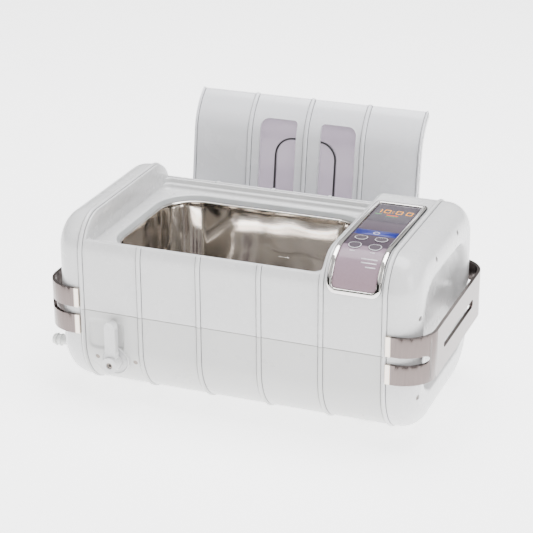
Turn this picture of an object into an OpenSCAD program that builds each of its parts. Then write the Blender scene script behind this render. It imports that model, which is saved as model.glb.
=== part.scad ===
// Table-top ultrasonic cleaner: ribbed plastic casing with pillow-shaped end caps, a pressed steel
// tank, a console with four keys, a drain valve, two metal handles and a lift-off lid that parks
// upright behind the casing. Origin: centre of the casing's flat underside. +X right, +Y back, +Z up.

/* [Casing] */
// Length of the ribbed middle, between the two end caps
body_l = 330; // [326:1:334]
// Depth of the casing, front to back
body_d = 217; // [214:1:220]
// Height of the end caps above the underside
body_h = 196.5; // [194:0.5:199]
// Outer radius of the long top edges
top_r = 38.5; // [36:0.5:40]
// Outer radius of the long bottom edges
bottom_r = 60; // [58:1:62]
// Thickness of the plastic shells
wall = 3; // [2.6:0.1:3.2]
// Height of the joint between the lower and the upper casing
split_z = 97.5; // [96:0.5:99]
// Height of the front and back edges that the lid rests on
edge_z = 173.7; // [172:0.1:175]
// Height of the sunken deck round the tank
deck_z = 163; // [162:0.5:164]
// How far the beads round the casing stand proud
bead_h = 1.8; // [1:0.1:2]

/* [End caps] */
// Length of one end cap
cap_l = 32; // [31:0.5:33]
// Radius of the end cap's rounded rim
cap_r = 25; // [23:1:26]
// Depth of the hand recess in the end face
recess_depth = 10; // [8:0.5:11]

/* [Tank] */
// Inside length of the tank
tank_l = 233; // [230:1:234]
// Inside width of the tank
tank_w = 166; // [162:1:167]
// Inside depth of the tank, below its rim
tank_depth = 82; // [76:1:84]
// Radius of the tank's upright corners
tank_r = 40; // [36:1:44]
// Distance from the left end of the ribbed middle to the tank
tank_inset = 20.5; // [20:0.5:22]

/* [Handles] */
// Height of the handle strap
strap_h = 51; // [48:1:54]
// Thickness of the handle strap
strap_t = 3.5; // [3:0.1:3.5]
// Width of the slots in the strap
strap_slot = 9; // [8:0.5:10]

/* [Lid] */
// Thickness of the lid shell
lid_t = 2.6; // [2.2:0.1:2.8]
// Angle that the parked lid leans back from upright
lid_lean = 8.5; // [8:0.1:9]

/* [Hidden] */
$fn = 64;
eps = 0.05;
half_l = body_l / 2;
half_d = body_d / 2;
end_x = half_l + cap_l;
rib_count = 6;
rib_pitch = body_l / (rib_count - 1);
bead_w = 5;
flange_w = 24;
flange_t = 3.5;
plate_bite = 3.2;

// Tank and deck
tank_x = -half_l + tank_inset + tank_l / 2;
rim_z = deck_z - 6;
rim_w = 7;
tank_t = 1.2;
tank_floor = rim_z - tank_depth;
deck_gap = 4.5;
deck_fit = 0.15;
basin_x0 = -half_l + 4;
console_x0 = 97;
basin_front = -half_d + 10;
basin_back = half_d - 14;

// Console
frame_x0 = 105;
frame_x1 = 161;
frame_back = 50;
frame_w = 5.5;
frame_low = body_h - top_r + 0.5;
frame_rise = 2.8;
face_rise = 1.2;
key_x = [122.5, 143.5];
key_y = [-54.9, -74.5];
key_l = 14;
key_w = 12.4;
key_gap = 0.35;
key_rise = 2.1;
key_travel = 0.8;
key_clear = 0.1;
row_drop = 1.2;
switch_h = 0.8;
board_z = body_h - 13;

// Drain valve
pivot_x = -128.6;
pivot_z = 44.3;
valve_y = -74;
neck_y = -100.5;
nozzle_z = 39.5;
nozzle_end = -219;
dial_r = 15.5;
dial_front = -110.3;
dial_seat = -106.3;
screw_reach = 21.9;
lever_back = -111;
lever_front = -124.5;
arm_front = -121.5;
arm_back = -113;
lever_len = 48;
hub_r = 8.7;
arm_r = 5.8;
recess_x = -139;
recess_z = 71.5;
recess_w = 39;
recess_h = 32;
recess_r = 5;
drain_x = -95;
drain_y = -58;
pipe_r = 8;
bore_r = 6;

// Handles
strap_x = 211;
strap_y = half_d + strap_t;
strap_r = 35;
strap_z = 95.5;
strap_end = half_l + 2.5;

// Lid, in its own frame: s along the lid from its middle, h behind its outer face
lid_l = 264;
lid_x = -6;
lid_lip_r = 59.5;
lid_lip_angle = 50.8;
lid_flat = 62.5;
lid_mid = [123.1, 160.3];
window_x = [[-54, -11], [17, 58]];
window_top = 85;
window_bottom = -60;
window_lap = 5;
pane_t = 2;
arch_gap = 0.2;

// Layout of the fasteners that hold the end caps, as [y, z]
cap_screw_spots = [[38, 178.5], [90, 136], [90, 50], [38, 10.5]];
foot_h = 5;
foot_web = 1.15;
foot_head = 1.8;
foot_spots = [[-130, -46], [130, -46], [-130, 46], [130, 46]];
fan_x = 132;
fan_size = 50;
fan_h = 15;
inlet_x = 140;
inlet_z = 76;
inlet_y = half_d + eps;
holder_x = [-66, 54];
holder_w = 36;
tray_z = 48.1;

// ---- Shared outlines ----

// Casing section in the Y-Z plane, shrunk by inset
module casing_section(inset = 0) {
  d = half_d - inset;
  low = inset;
  high = body_h - inset;
  rt = top_r - inset;
  rb = bottom_r - inset;
  translate([-d, low + rb]) square([2 * d, high - rt - low - rb]);
  translate([-d + rt, low + rb]) square([2 * (d - rt), high - low - rb]);
  translate([-d + rb, low]) square([2 * (d - rb), high - rt - low]);
  for (side = [-1, 1]) {
    translate([side * (d - rt), high - rt]) circle(rt, $fn = 96);
    translate([side * (d - rb), low + rb]) circle(rb, $fn = 128);
  }
}

// Casing section pulled along X from x0 to x1
module casing_bar(x0, x1, inset = 0) {
  translate([x0, 0, 0]) rotate([90, 0, 90]) linear_extrude(x1 - x0) casing_section(inset);
}

module rounded_rect(l, w, r) {
  square([l - 2 * r, w], center = true);
  square([l, w - 2 * r], center = true);
  for (sx = [-1, 1], sy = [-1, 1])
    translate([sx * (l / 2 - r), sy * (w / 2 - r)]) circle(r, $fn = 96);
}

// Slot shape with half-round ends, l long overall
module stadium(l, w) {
  square([l - w, w], center = true);
  for (side = [-1, 1]) translate([side * (l - w) / 2, 0]) circle(w / 2);
}

module block(x0, x1, y0, y1, z0, z1) {
  translate([x0, y0, z0]) cube([x1 - x0, y1 - y0, z1 - z0]);
}

// Cylinder along Y, from y0 to y1
module rod_y(x, z, y0, y1, r) {
  translate([x, y0, z]) rotate([-90, 0, 0]) cylinder(h = y1 - y0, r = r);
}

// Cylinder along X, from x0 to x1
module rod_x(y, z, x0, x1, r) {
  translate([x0, y, z]) rotate([0, 90, 0]) cylinder(h = x1 - x0, r = r);
}

module slab(z0, z1) {
  block(-half_l - 60, half_l + 60, -half_d - 20, half_d + 20, z0, z1);
}

// How far out the rounded end of a cap reaches, a given distance in from its edge
function cap_reach(inset) = inset >= cap_r ? end_x
  : end_x - cap_r + sqrt(cap_r * cap_r - (cap_r - inset) * (cap_r - inset));

// Puts each child at one end cap screw, with $seat as the x of the surface there
module at_cap_screws() {
  for (spot = cap_screw_spots, side = [-1, 1]) {
    $seat = cap_reach(min(half_d - spot[0], body_h - spot[1], spot[1]));
    translate([0, side * spot[0], spot[1]]) children();
  }
}

// ---- Casing ----

// The ribbed middle with its beads and an inner ring at each end for the cap screws
module casing_shell() {
  difference() {
    union() {
      casing_bar(-half_l, half_l);
      for (i = [1 : rib_count - 2])
        casing_bar(-half_l + i * rib_pitch - bead_w / 2, -half_l + i * rib_pitch + bead_w / 2, -bead_h);
      casing_bar(-half_l, -half_l + bead_w / 2, -bead_h);
      casing_bar(half_l - bead_w / 2, half_l, -bead_h);
    }
    casing_bar(-half_l + flange_t, half_l - flange_t, wall);
    casing_bar(-half_l - 1, half_l + 1, flange_w);
    for (side = [-1, 1])
      translate([side * (half_l - flange_t / 2), 0, 0]) at_cap_screws()
        rod_x(0, 0, -flange_t, flange_t, 1.7);
  }
}

module lower_casing() {
  color([0.82, 0.83, 0.82]) difference() {
    union() {
      intersection() {
        casing_shell();
        slab(-5, split_z);
      }
      for (x = [104, 156], y = [-50, 44])
        translate([x, y, wall - eps]) cylinder(h = 29, r = 3.5);
      for (x = [-20, 20], y = [-20, 20])
        translate([fan_x + x, y, wall - eps]) cylinder(h = 4, r = 3.5);
    }
    finger_recess();
    rod_y(pivot_x, pivot_z, -half_d - 5, dial_seat, dial_r + 0.3);
    rod_y(pivot_x, pivot_z, -half_d - 5, -90, 4);
    for (side = [-1, 1]) {
      rod_y(pivot_x + side * screw_reach, pivot_z, -half_d - 5, -95, 1.6);
      rod_y(pivot_x + side * screw_reach, pivot_z, -half_d - 5, -104.5, 2.5);
    }
    for (i = [-2 : 2])
      block(fan_x + i * 6 - 1.5, fan_x + i * 6 + 1.5, -19, 19, -1, wall + 1);
    for (i = [-3 : 3])
      block(inlet_x - 1.5 + i * 6, inlet_x + 1.5 + i * 6, 85, half_d + 5, 28, 52);
    outlet_run(pipe_r + 0.5, 8);
    block(inlet_x - 13.7, inlet_x + 13.7, 80, half_d + 5, inlet_z - 9.9, inlet_z + 9.9);
    for (side = [-1, 1])
      rod_y(inlet_x + side * 17.5, inlet_z, 80, half_d + 5, 1.7);
    for (spot = foot_spots)
      translate([spot[0], spot[1], -1]) cylinder(h = wall + 2, r = 1.7);
    at_holder_screws() rod_y(0, 0, 90, half_d + 5, 1.6);
    for (x = [104, 156], y = [-50, 44])
      translate([x, y, 20]) cylinder(h = 20, r = 1.3);
    for (x = [-20, 20], y = [-20, 20])
      translate([fan_x + x, y, wall + 0.5]) cylinder(h = 10, r = 1.3);
  }
}

// Shallow hollow in the front panel behind the lever's arm
module finger_recess() {
  translate([recess_x, -half_d + 1.8, recess_z]) rotate([90, 0, 0]) linear_extrude(10)
    rounded_rect(recess_w, recess_h, recess_r);
}

module upper_casing() {
  color([0.85, 0.86, 0.86]) difference() {
    union() {
      difference() {
        intersection() {
          casing_shell();
          slab(split_z, body_h + 10);
        }
        block(basin_x0, console_x0, -half_d - 10, half_d + 10, edge_z, body_h + 10);
      }
      intersection() {
        casing_bar(-half_l, basin_x0);
        slab(deck_z - wall, body_h);
      }
      intersection() {
        casing_bar(console_x0, console_x0 + wall);
        slab(deck_z - wall, body_h);
      }
    }
    console_window(1.5, -10, 20);
    for (side = [-1, 1])
      rod_x(side * cap_screw_spots[0][0], cap_screw_spots[0][1],
        -half_l - 1, -half_l + plate_bite + 0.1, 1.7);
  }
}

// Moulded deck between the casing's walls, with raised ledges front and back and the tank opening
module deck_panel() {
  color([0.86, 0.87, 0.87]) difference() {
    intersection() {
      casing_bar(basin_x0, console_x0, wall + deck_fit);
      slab(deck_z - wall, edge_z);
    }
    block(basin_x0 - 1, console_x0 + 1, basin_front, basin_back, deck_z, edge_z + 1);
    translate([tank_x, 0, deck_z - 20]) linear_extrude(40)
      rounded_rect(tank_l + 2 * deck_gap, tank_w + 2 * deck_gap, tank_r + deck_gap);
  }
}

// Opening in the top and front of the console for the face, grown by gap
module console_window(gap, low_inset, depth) {
  intersection() {
    difference() {
      casing_bar(frame_x0 + frame_w - gap, frame_x1 - frame_w + gap, low_inset);
      casing_bar(frame_x0, frame_x1, depth);
    }
    block(frame_x0, frame_x1, -half_d - 20, frame_back - frame_w + gap,
      frame_low + frame_w - gap, body_h + 20);
  }
}

// Solid pillow shape of an end cap on the +X side, shrunk by inset
module cap_solid(inset = 0) {
  reach = end_x - inset;
  r = cap_r - inset;
  intersection() {
    casing_bar(half_l, reach, inset);
    translate([0, 0, -1]) linear_extrude(body_h + 2) end_outline(reach, half_d + eps - inset, r);
    translate([0, half_d + 1, body_h / 2]) rotate([90, 0, 0]) linear_extrude(body_d + 2)
      end_outline(reach, body_h / 2 + eps - inset, r);
  }
}

// Half plate from the joint to reach, with two rounded outer corners
module end_outline(reach, half_w, r) {
  translate([half_l, -half_w]) square([reach - r - half_l, 2 * half_w]);
  translate([half_l, -half_w + r]) square([reach - half_l, 2 * (half_w - r)]);
  for (side = [-1, 1]) translate([reach - r, side * (half_w - r)]) circle(r, $fn = 96);
}

module end_cap() {
  difference() {
    union() {
      difference() {
        cap_solid();
        difference() {
          translate([-eps, 0, 0]) cap_solid(wall);
          hand_recess(wall);
        }
      }
      difference() {
        casing_bar(half_l, half_l + 2, -bead_h);
        casing_bar(half_l - 1, half_l + 3, wall);
      }
      at_cap_screws() rod_x(0, 0, half_l, $seat - 2, 4.5);
    }
    hand_recess(0);
    at_cap_screws() rod_x(0, 0, half_l - 1, end_x + 1, 1.8);
    at_cap_screws() rod_x(0, 0, $seat - 2.5, end_x + 1, 2.8);
    at_studs() rod_y(0, 0, -8, 8, 2.1);
  }
}

// Hollow in the end face that gives the fingers room behind the handle, grown by grow
module hand_recess(grow) {
  translate([end_x - recess_depth - grow, 0, 101]) rotate([90, 0, 90])
    linear_extrude(recess_depth + grow + 10) rounded_rect(150 + 2 * grow, 120 + 2 * grow, 30 + grow);
}

module right_end_cap() {
  color([0.84, 0.85, 0.85]) end_cap();
}

module left_end_cap() {
  color([0.84, 0.85, 0.85]) difference() {
    mirror([1, 0, 0]) end_cap();
    rod_x(valve_y, nozzle_z, -end_x - 1, -end_x + 20, 5.2);
  }
}

module end_cap_screws() {
  color("dimgray") for (side = [0, 1]) mirror([side, 0, 0]) at_cap_screws() {
    rod_x(0, 0, $seat - 2.45, $seat - 0.9, 2.4);
    rod_x(0, 0, half_l - plate_bite, $seat - 2.4, 1.6);
  }
}

module feet() {
  color([0.16, 0.16, 0.17]) for (spot = foot_spots) translate([spot[0], spot[1], -foot_h])
    difference() {
      union() {
        cylinder(h = 3, r1 = 8, r2 = 9);
        translate([0, 0, 3]) cylinder(h = 2, r = 9);
      }
      translate([0, 0, -1]) cylinder(h = foot_h - foot_web + 1, r = 4);
      cylinder(h = 6, r = 1.7);
    }
}

module foot_screws() {
  color("silver") for (spot = foot_spots) translate([spot[0], spot[1], 0]) {
    translate([0, 0, -foot_web - eps - foot_head]) cylinder(h = foot_head, r = 3.2);
    translate([0, 0, -1.5]) cylinder(h = 9, r = 1.5);
    translate([0, 0, wall + eps]) cylinder(h = 2.4, r = 3.2, $fn = 6);
  }
}

// ---- Tank ----

module tank_outline(grow) {
  rounded_rect(tank_l + 2 * grow, tank_w + 2 * grow, tank_r + grow);
}

module tank() {
  color([0.75, 0.74, 0.72]) translate([tank_x, 0, 0]) difference() {
    union() {
      translate([0, 0, rim_z - 1.2]) linear_extrude(1.2) tank_outline(rim_w);
      translate([0, 0, tank_floor - tank_t]) linear_extrude(tank_depth) tank_outline(tank_t);
    }
    translate([0, 0, tank_floor]) linear_extrude(tank_depth + 1) tank_outline(0);
    translate([drain_x - tank_x, drain_y, tank_floor - 5]) cylinder(h = 10, r = 6);
  }
}

module tank_gasket() {
  color([0.62, 0.64, 0.65]) translate([tank_x, 0, rim_z + eps]) difference() {
    union() {
      linear_extrude(deck_z - wall - rim_z - 2 * eps) tank_outline(deck_gap + 2);
      linear_extrude(deck_z - rim_z - 0.8) tank_outline(deck_gap - eps);
    }
    translate([0, 0, -1]) linear_extrude(20) tank_outline(1.2);
  }
}

module heater_pad() {
  color([0.78, 0.35, 0.12]) translate([tank_x, tank_w / 2 + tank_t + eps, tank_floor + 40])
    rotate([-90, 0, 0]) linear_extrude(2) rounded_rect(140, 44, 4);
}

module temperature_sensor() {
  color([0.85, 0.85, 0.8]) {
    rod_x(0, tank_floor + 35, tank_x + tank_l / 2 + tank_t + eps, tank_x + tank_l / 2 + 5, 5);
    rod_x(0, tank_floor + 35, tank_x + tank_l / 2 + 4, tank_x + tank_l / 2 + 7, 1.5);
  }
}

// Bolted sandwich transducer bonded under the tank: flared horn, two ceramic rings, back mass, bolt
module transducer(x) {
  translate([x, 0, tank_floor - tank_t - eps]) mirror([0, 0, 1]) {
    cylinder(h = 4, r = 24);
    translate([0, 0, 4]) cylinder(h = 20, r1 = 24, r2 = 17);
    for (i = [0, 1]) translate([0, 0, 24.6 + i * 5.6]) cylinder(h = 5, r = 16.5);
    for (i = [0, 1]) translate([0, 0, 24 + i * 5.6]) cylinder(h = 0.6, r = 18);
    translate([0, 0, 35.2]) cylinder(h = 14, r = 17);
    translate([0, 0, 49.2]) cylinder(h = 6, r = 6, $fn = 6);
  }
}

module left_transducer() {
  color([0.66, 0.66, 0.68]) transducer(tank_x - 52);
}

module right_transducer() {
  color([0.66, 0.66, 0.68]) transducer(tank_x + 52);
}

// ---- Console ----

module console_frame() {
  color([0.88, 0.86, 0.84]) intersection() {
    difference() {
      casing_bar(frame_x0, frame_x1, -frame_rise);
      casing_bar(frame_x0 - 1, frame_x1 + 1, -eps);
      console_window(0, -10, 20);
    }
    block(frame_x0, frame_x1, -half_d - 20, frame_back, frame_low, body_h + 20);
  }
}

module console_face() {
  color([0.48, 0.43, 0.48]) difference() {
    union() {
      intersection() {
        difference() {
          casing_bar(frame_x0, frame_x1, -face_rise);
          casing_bar(frame_x0 - 1, frame_x1 + 1, wall);
        }
        console_window(-0.1, -10, 20);
      }
      intersection() {
        difference() {
          casing_bar(frame_x0, frame_x1, 0.1);
          casing_bar(frame_x0 - 1, frame_x1 + 1, wall);
        }
        console_window(1.4, -10, 20);
      }
    }
    for (x = key_x, y = key_y) translate([x, y, body_h - 10]) linear_extrude(20)
      stadium(key_l + 2 * key_gap, key_w + 2 * key_gap);
  }
}

// Push key: visible cap, retaining flange under the face, stem down to its switch
module key(column, row) {
  translate([key_x[column], key_y[row], 0]) {
    translate([0, 0, body_h - wall - 1]) linear_extrude(wall + 1 + key_rise - 0.3 * row)
      stadium(key_l, key_w);
    translate([0, 0, body_h - wall - 2.6 - row_drop * row]) linear_extrude(1.4)
      stadium(key_l + 2.4, key_w + 2.4);
    stem_low = board_z + switch_h + key_travel + key_clear;
    translate([0, 0, stem_low]) cylinder(h = body_h - wall - 1 - stem_low, r = 2);
  }
}

module on_off_key() {
  color([0.55, 0.5, 0.55]) key(0, 0);
}

module heat_key() {
  color([0.55, 0.5, 0.55]) key(1, 0);
}

module time_up_key() {
  color([0.55, 0.5, 0.55]) key(0, 1);
}

module time_down_key() {
  color([0.55, 0.5, 0.55]) key(1, 1);
}

module display_module() {
  color([0.12, 0.1, 0.1]) {
    block(113, 153, 18, 36, board_z + eps, body_h - wall - 0.5);
    for (i = [0 : 3]) block(121 + i * 7, 123 + i * 7, 8, 12, board_z + eps, board_z + 3);
  }
}

module control_board() {
  color([0.1, 0.35, 0.2]) {
    block(108.5, 157.5, -80, 44, board_z - 1.6, board_z);
    for (x = key_x, y = key_y) block(x - 3, x + 3, y - 3, y + 3, board_z - eps, board_z + switch_h);
  }
}

// ---- Electronics bay ----

module driver_board() {
  color([0.1, 0.35, 0.2]) difference() {
    block(100, 162, -56, 50, 32, 33.6);
    for (x = [104, 156], y = [-50, 44]) translate([x, y, 30]) cylinder(h = 5, r = 1.6);
  }
}

module board_parts() {
  color([0.35, 0.35, 0.38]) translate([0, 0, 33.65]) {
    block(105, 130, -42, -14, 0, 3);
    for (i = [0 : 4]) block(105 + i * 5.6, 107.6 + i * 5.6, -42, -14, 2.9, 24);
    translate([146, -28, 0]) cylinder(h = 26, r = 9);
    translate([146, -4, 0]) cylinder(h = 26, r = 9);
    block(108, 134, -4, 22, 0, 22);
    translate([146, 26, 0]) difference() {
      cylinder(h = 10, r = 11);
      translate([0, 0, -1]) cylinder(h = 12, r = 5);
    }
    for (x = [104, 156], y = [-50, 44]) translate([x, y, 0]) cylinder(h = 2.4, r = 2.8);
  }
}

module fan_frame() {
  color([0.1, 0.1, 0.11]) translate([fan_x, 0, wall + 4]) difference() {
    union() {
      difference() {
        linear_extrude(fan_h) rounded_rect(fan_size, fan_size, 3);
        translate([0, 0, -1]) cylinder(h = fan_h + 2, r = 23.5);
      }
      for (a = [45 : 90 : 315]) rotate([0, 0, a]) translate([9, -1.5, 0]) cube([15, 3, 2]);
      cylinder(h = 2.5, r = 10);
    }
    translate([0, 0, -1]) cylinder(h = 10, r = 1.55);
    for (x = [-20, 20], y = [-20, 20]) translate([x, y, -1]) cylinder(h = fan_h + 2, r = 1.7);
  }
}

module fan_rotor() {
  color([0.15, 0.15, 0.16]) translate([fan_x, 0, wall + 4]) {
    cylinder(h = 8, r = 1.5);
    translate([0, 0, 3]) cylinder(h = 11, r = 9.5);
    for (i = [0 : 6]) rotate([0, 0, i * 360 / 7]) translate([8.5, 0, 8.5]) rotate([35, 0, 0])
      translate([0, -0.8, -4.5]) cube([13.8, 1.6, 9]);
  }
}

module fan_screws() {
  color("silver") for (x = [-20, 20], y = [-20, 20]) translate([fan_x + x, y, wall + 4]) {
    translate([0, 0, fan_h + eps]) cylinder(h = 1.8, r = 2.8);
    translate([0, 0, -3]) cylinder(h = fan_h + 3.1, r = 1.25);
  }
}

// ---- Handles ----

module strap_path(grow) {
  rounded_rect(2 * (strap_x + grow), 2 * (strap_y + grow), strap_r + grow);
}

// Bent metal strap on the +X side: two tines front and back joined by a slotted grip
module handle() {
  slot_z = strap_z - strap_slot / 2;
  difference() {
    translate([0, 0, strap_z - strap_h / 2]) linear_extrude(strap_h) difference() {
      strap_path(0);
      strap_path(-strap_t);
      translate([-strap_x - 1, -150]) square([strap_x + 1 + strap_end, 300]);
    }
    for (side = [-1, 1]) tine_slot(side, slot_z);
    translate([strap_x - 10, 0, strap_z]) rotate([90, 0, 90]) linear_extrude(20)
      stadium(110, strap_slot);
    at_studs() rod_y(0, 0, -8, 1.2, 2.05);
  }
}

// Slot between the two tines, closed by a round end near the corner
module tine_slot(side, slot_z) {
  slot_end = 203;
  block(strap_end - 1, slot_end, side * 100 - 20, side * 100 + 20, slot_z, slot_z + strap_slot);
  rod_y(slot_end, strap_z, side * 100 - 20, side * 100 + 20, strap_slot / 2);
}

// Places children at the four fixing studs of one handle, local -Y pointing inwards at y = 0
module at_studs() {
  for (side = [-1, 1], dz = [-15.2, 15.2])
    translate([half_l + 6.5, side * half_d, strap_z + dz]) mirror([0, side > 0 ? 0 : 1, 0]) children();
}

module left_handle() {
  color([0.66, 0.6, 0.58]) mirror([1, 0, 0]) handle();
}

module right_handle() {
  color([0.66, 0.6, 0.58]) handle();
}

module handle_studs() {
  color("silver") for (side = [0, 1]) mirror([side, 0, 0]) at_studs() rod_y(0, 0, -12, 1.1, 1.95);
}

module handle_nuts() {
  color("silver") for (side = [0, 1]) mirror([side, 0, 0]) at_studs()
    translate([0, -wall - 0.4, 0]) rotate([90, 0, 0]) difference() {
      cylinder(h = 3, r = 3.7, $fn = 6);
      translate([0, 0, -1]) cylinder(h = 5, r = 2);
    }
}

// ---- Drain ----

module valve_body() {
  color([0.9, 0.9, 0.88]) difference() {
    union() {
      rod_x(valve_y, pivot_z, pivot_x - 15, pivot_x + 15, 11.5);
      rod_y(pivot_x, pivot_z, neck_y, valve_y, 6.5);
      block(pivot_x - 27, pivot_x + 27, -99.5, -95.5, pivot_z - 6, pivot_z + 6);
    }
    rod_x(valve_y, pivot_z, pivot_x - 16, pivot_x + 16, bore_r);
    translate([pivot_x, valve_y, pivot_z]) rotate([0, 90, 0]) sphere(8.4);
    rod_y(pivot_x, pivot_z, -104, valve_y, 3.05);
    for (side = [-1, 1]) rod_y(pivot_x + side * screw_reach, pivot_z, -100, -95, 1.45);
  }
}

module valve_ball() {
  color([0.8, 0.8, 0.82]) difference() {
    translate([pivot_x, valve_y, pivot_z]) rotate([0, 90, 0]) sphere(8);
    rod_x(valve_y, pivot_z, pivot_x - 9, pivot_x + 9, 5);
    block(pivot_x - 3.1, pivot_x + 3.1, valve_y - 9, valve_y - 5.9, pivot_z - 1.3, pivot_z + 1.3);
  }
}

module valve_stem() {
  color([0.8, 0.8, 0.82]) difference() {
    union() {
      rod_y(pivot_x, pivot_z, -118, valve_y - 8, 3);
      block(pivot_x - 2.7, pivot_x + 2.7, valve_y - 8.5, valve_y - 6, pivot_z - 1.2, pivot_z + 1.2);
    }
    rod_y(pivot_x, pivot_z, -119, -111, 1.3);
  }
}

module drain_lever() {
  color([0.84, 0.85, 0.84]) difference() {
    union() {
      rod_y(pivot_x, pivot_z, lever_front, lever_back, hub_r);
      block(pivot_x - arm_r, pivot_x + arm_r, arm_front, arm_back, pivot_z, pivot_z + lever_len - arm_r);
      rod_y(pivot_x, pivot_z + lever_len - arm_r, arm_front, arm_back, arm_r);
    }
    rod_y(pivot_x, pivot_z, -118.1, lever_back + 1, 3.05);
    rod_y(pivot_x, pivot_z, -121, -117, 1.5);
    rod_y(pivot_x, pivot_z, lever_front - 1, -121, 3.6);
  }
}

module lever_screw() {
  color([0.4, 0.4, 0.42]) {
    rod_y(pivot_x, pivot_z, -122.9, -121.05, 3.3);
    rod_y(pivot_x, pivot_z, -121.2, -112, 1.25);
  }
}

module drain_dial() {
  color([0.86, 0.87, 0.86]) difference() {
    rod_y(pivot_x, pivot_z, dial_front, dial_seat - eps, dial_r);
    rod_y(pivot_x, pivot_z, dial_front - 1, dial_seat + 1, 4);
    difference() {
      rod_y(pivot_x, pivot_z, dial_front - 1, dial_front + 0.8, dial_r - 1.5);
      rod_y(pivot_x, pivot_z, dial_front - 2, dial_front + 2, 9.7);
    }
  }
}

module valve_screws() {
  color([0.45, 0.42, 0.4]) for (side = [-1, 1]) {
    rod_y(pivot_x + side * screw_reach, pivot_z, -106, -104.6, 2.4);
    rod_y(pivot_x + side * screw_reach, pivot_z, -104.7, -96, 1.4);
  }
}

// Route of the pipe from the tank floor to the valve, at radius r
module drain_run(r, over) {
  top = tank_floor - tank_t - eps;
  translate([drain_x, drain_y, pivot_z]) cylinder(h = top - pivot_z + over, r = r);
  translate([drain_x, drain_y, pivot_z]) sphere(r);
  rod_y(drain_x, pivot_z, valve_y, drain_y, r);
  translate([drain_x, valve_y, pivot_z]) sphere(r);
  rod_x(valve_y, pivot_z, pivot_x + 15 + eps - over, drain_x, r);
}

module drain_pipe() {
  color([0.85, 0.85, 0.83]) difference() {
    drain_run(pipe_r, 0);
    drain_run(bore_r, 1);
  }
}

// Slanting rod from the valve down to the nozzle, cut square, run on by over at both ends
module outlet_run(r, over) {
  x0 = -end_x + 14.5;
  x1 = pivot_x - 15 - eps;
  slant = atan((pivot_z - nozzle_z) / (x1 - x0));
  intersection() {
    translate([x1, valve_y, pivot_z]) rotate([0, -90 - slant, 0]) translate([0, 0, -20])
      cylinder(h = x1 - x0 + 45, r = r);
    block(x0 - over, x1 + over, valve_y - 20, valve_y + 20, pivot_z - 40, pivot_z + 30);
  }
}

module outlet_pipe() {
  color([0.85, 0.85, 0.83]) difference() {
    outlet_run(pipe_r, 0);
    outlet_run(bore_r, 1);
  }
}

module hose_nozzle() {
  color([0.86, 0.87, 0.85]) difference() {
    union() {
      rod_x(valve_y, nozzle_z, nozzle_end, -end_x + 14.4, 4.9);
      rod_x(valve_y, nozzle_z, -end_x - 2, -end_x - eps, 8);
      rod_x(valve_y, nozzle_z, -end_x + wall + eps, -end_x + 6, 8);
      for (x = [nozzle_end, nozzle_end + 5.5]) translate([x, valve_y, nozzle_z]) rotate([0, 90, 0])
        cylinder(h = 4.5, r1 = 5.4, r2 = 7);
    }
    rod_x(valve_y, nozzle_z, nozzle_end - 1, -end_x + 15, 3.4);
  }
}

// ---- Mains inlet (three-pin appliance socket) ----

module mains_inlet() {
  color([0.1, 0.1, 0.1]) difference() {
    union() {
      block(inlet_x - 13.4, inlet_x + 13.4, 84, inlet_y + 1, inlet_z - 9.6, inlet_z + 9.6);
      translate([inlet_x, inlet_y + 2.4, inlet_z]) rotate([90, 0, 0]) linear_extrude(2.4)
        rounded_rect(42, 23, 4);
    }
    block(inlet_x - 12.2, inlet_x + 12.2, 92, 114, inlet_z - 8.2, inlet_z + 8.2);
    for (side = [-1, 1]) rod_y(inlet_x + side * 17.5, inlet_z, 104, 114, 1.6);
    for (i = [-1 : 1]) block(inlet_x + i * 7 - 1, inlet_x + i * 7 + 1, 80, 95,
      inlet_z - 2, inlet_z + 2);
  }
}

module inlet_pins() {
  color("silver") for (i = [-1 : 1])
    block(inlet_x + i * 7 - 0.95, inlet_x + i * 7 + 0.95, 78, 106, inlet_z - 1.95, inlet_z + 1.95);
}

module inlet_screws() {
  color("silver") for (side = [-1, 1]) {
    rod_y(inlet_x + side * 17.5, inlet_z, inlet_y + 2.45, inlet_y + 3.9, 2.8);
    rod_y(inlet_x + side * 17.5, inlet_z, 98, inlet_y + 2.5, 1.5);
  }
}

// ---- Lid ----

// Lid section: x is h (depth behind the outer face), y is s (along the lid), shrunk by inset
module lid_section(t0, t1) {
  r = lid_lip_r;
  translate([t0, -lid_flat]) square([t1 - t0, 2 * lid_flat]);
  for (side = [-1, 1]) intersection() {
    translate([r, side * lid_flat]) difference() {
      circle(r - t0, $fn = 160);
      circle(r - t1, $fn = 160);
    }
    lip_wedge(side);
  }
}

// Sector that bounds one rounded lip of the lid
module lip_wedge(side) {
  far = 3 * lid_lip_r;
  translate([lid_lip_r, side * lid_flat]) polygon([
    [0, 0],
    [-far, 0],
    [-far, side * far * sin(lid_lip_angle) / cos(lid_lip_angle)]
  ]);
}

// Puts lid coordinates [x, h, s] into the parked pose
module parked() {
  translate([lid_x, lid_mid[0], lid_mid[1]]) rotate([-lid_lean, 0, 0]) children();
}

// Sheet of the lid between depths t0 and t1, from x0 to x1
module lid_sheet(x0, x1, t0, t1) {
  translate([x0, 0, 0]) rotate([90, 0, 90]) linear_extrude(x1 - x0) lid_section(t0, t1);
}

// The two windows through the lid shell
module lid_openings() {
  for (span = window_x)
    translate([(span[0] + span[1]) / 2, 20, (window_top + window_bottom) / 2])
      rotate([90, 0, 0]) linear_extrude(60)
        rounded_rect(span[1] - span[0], window_top - window_bottom, 7);
}

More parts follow.
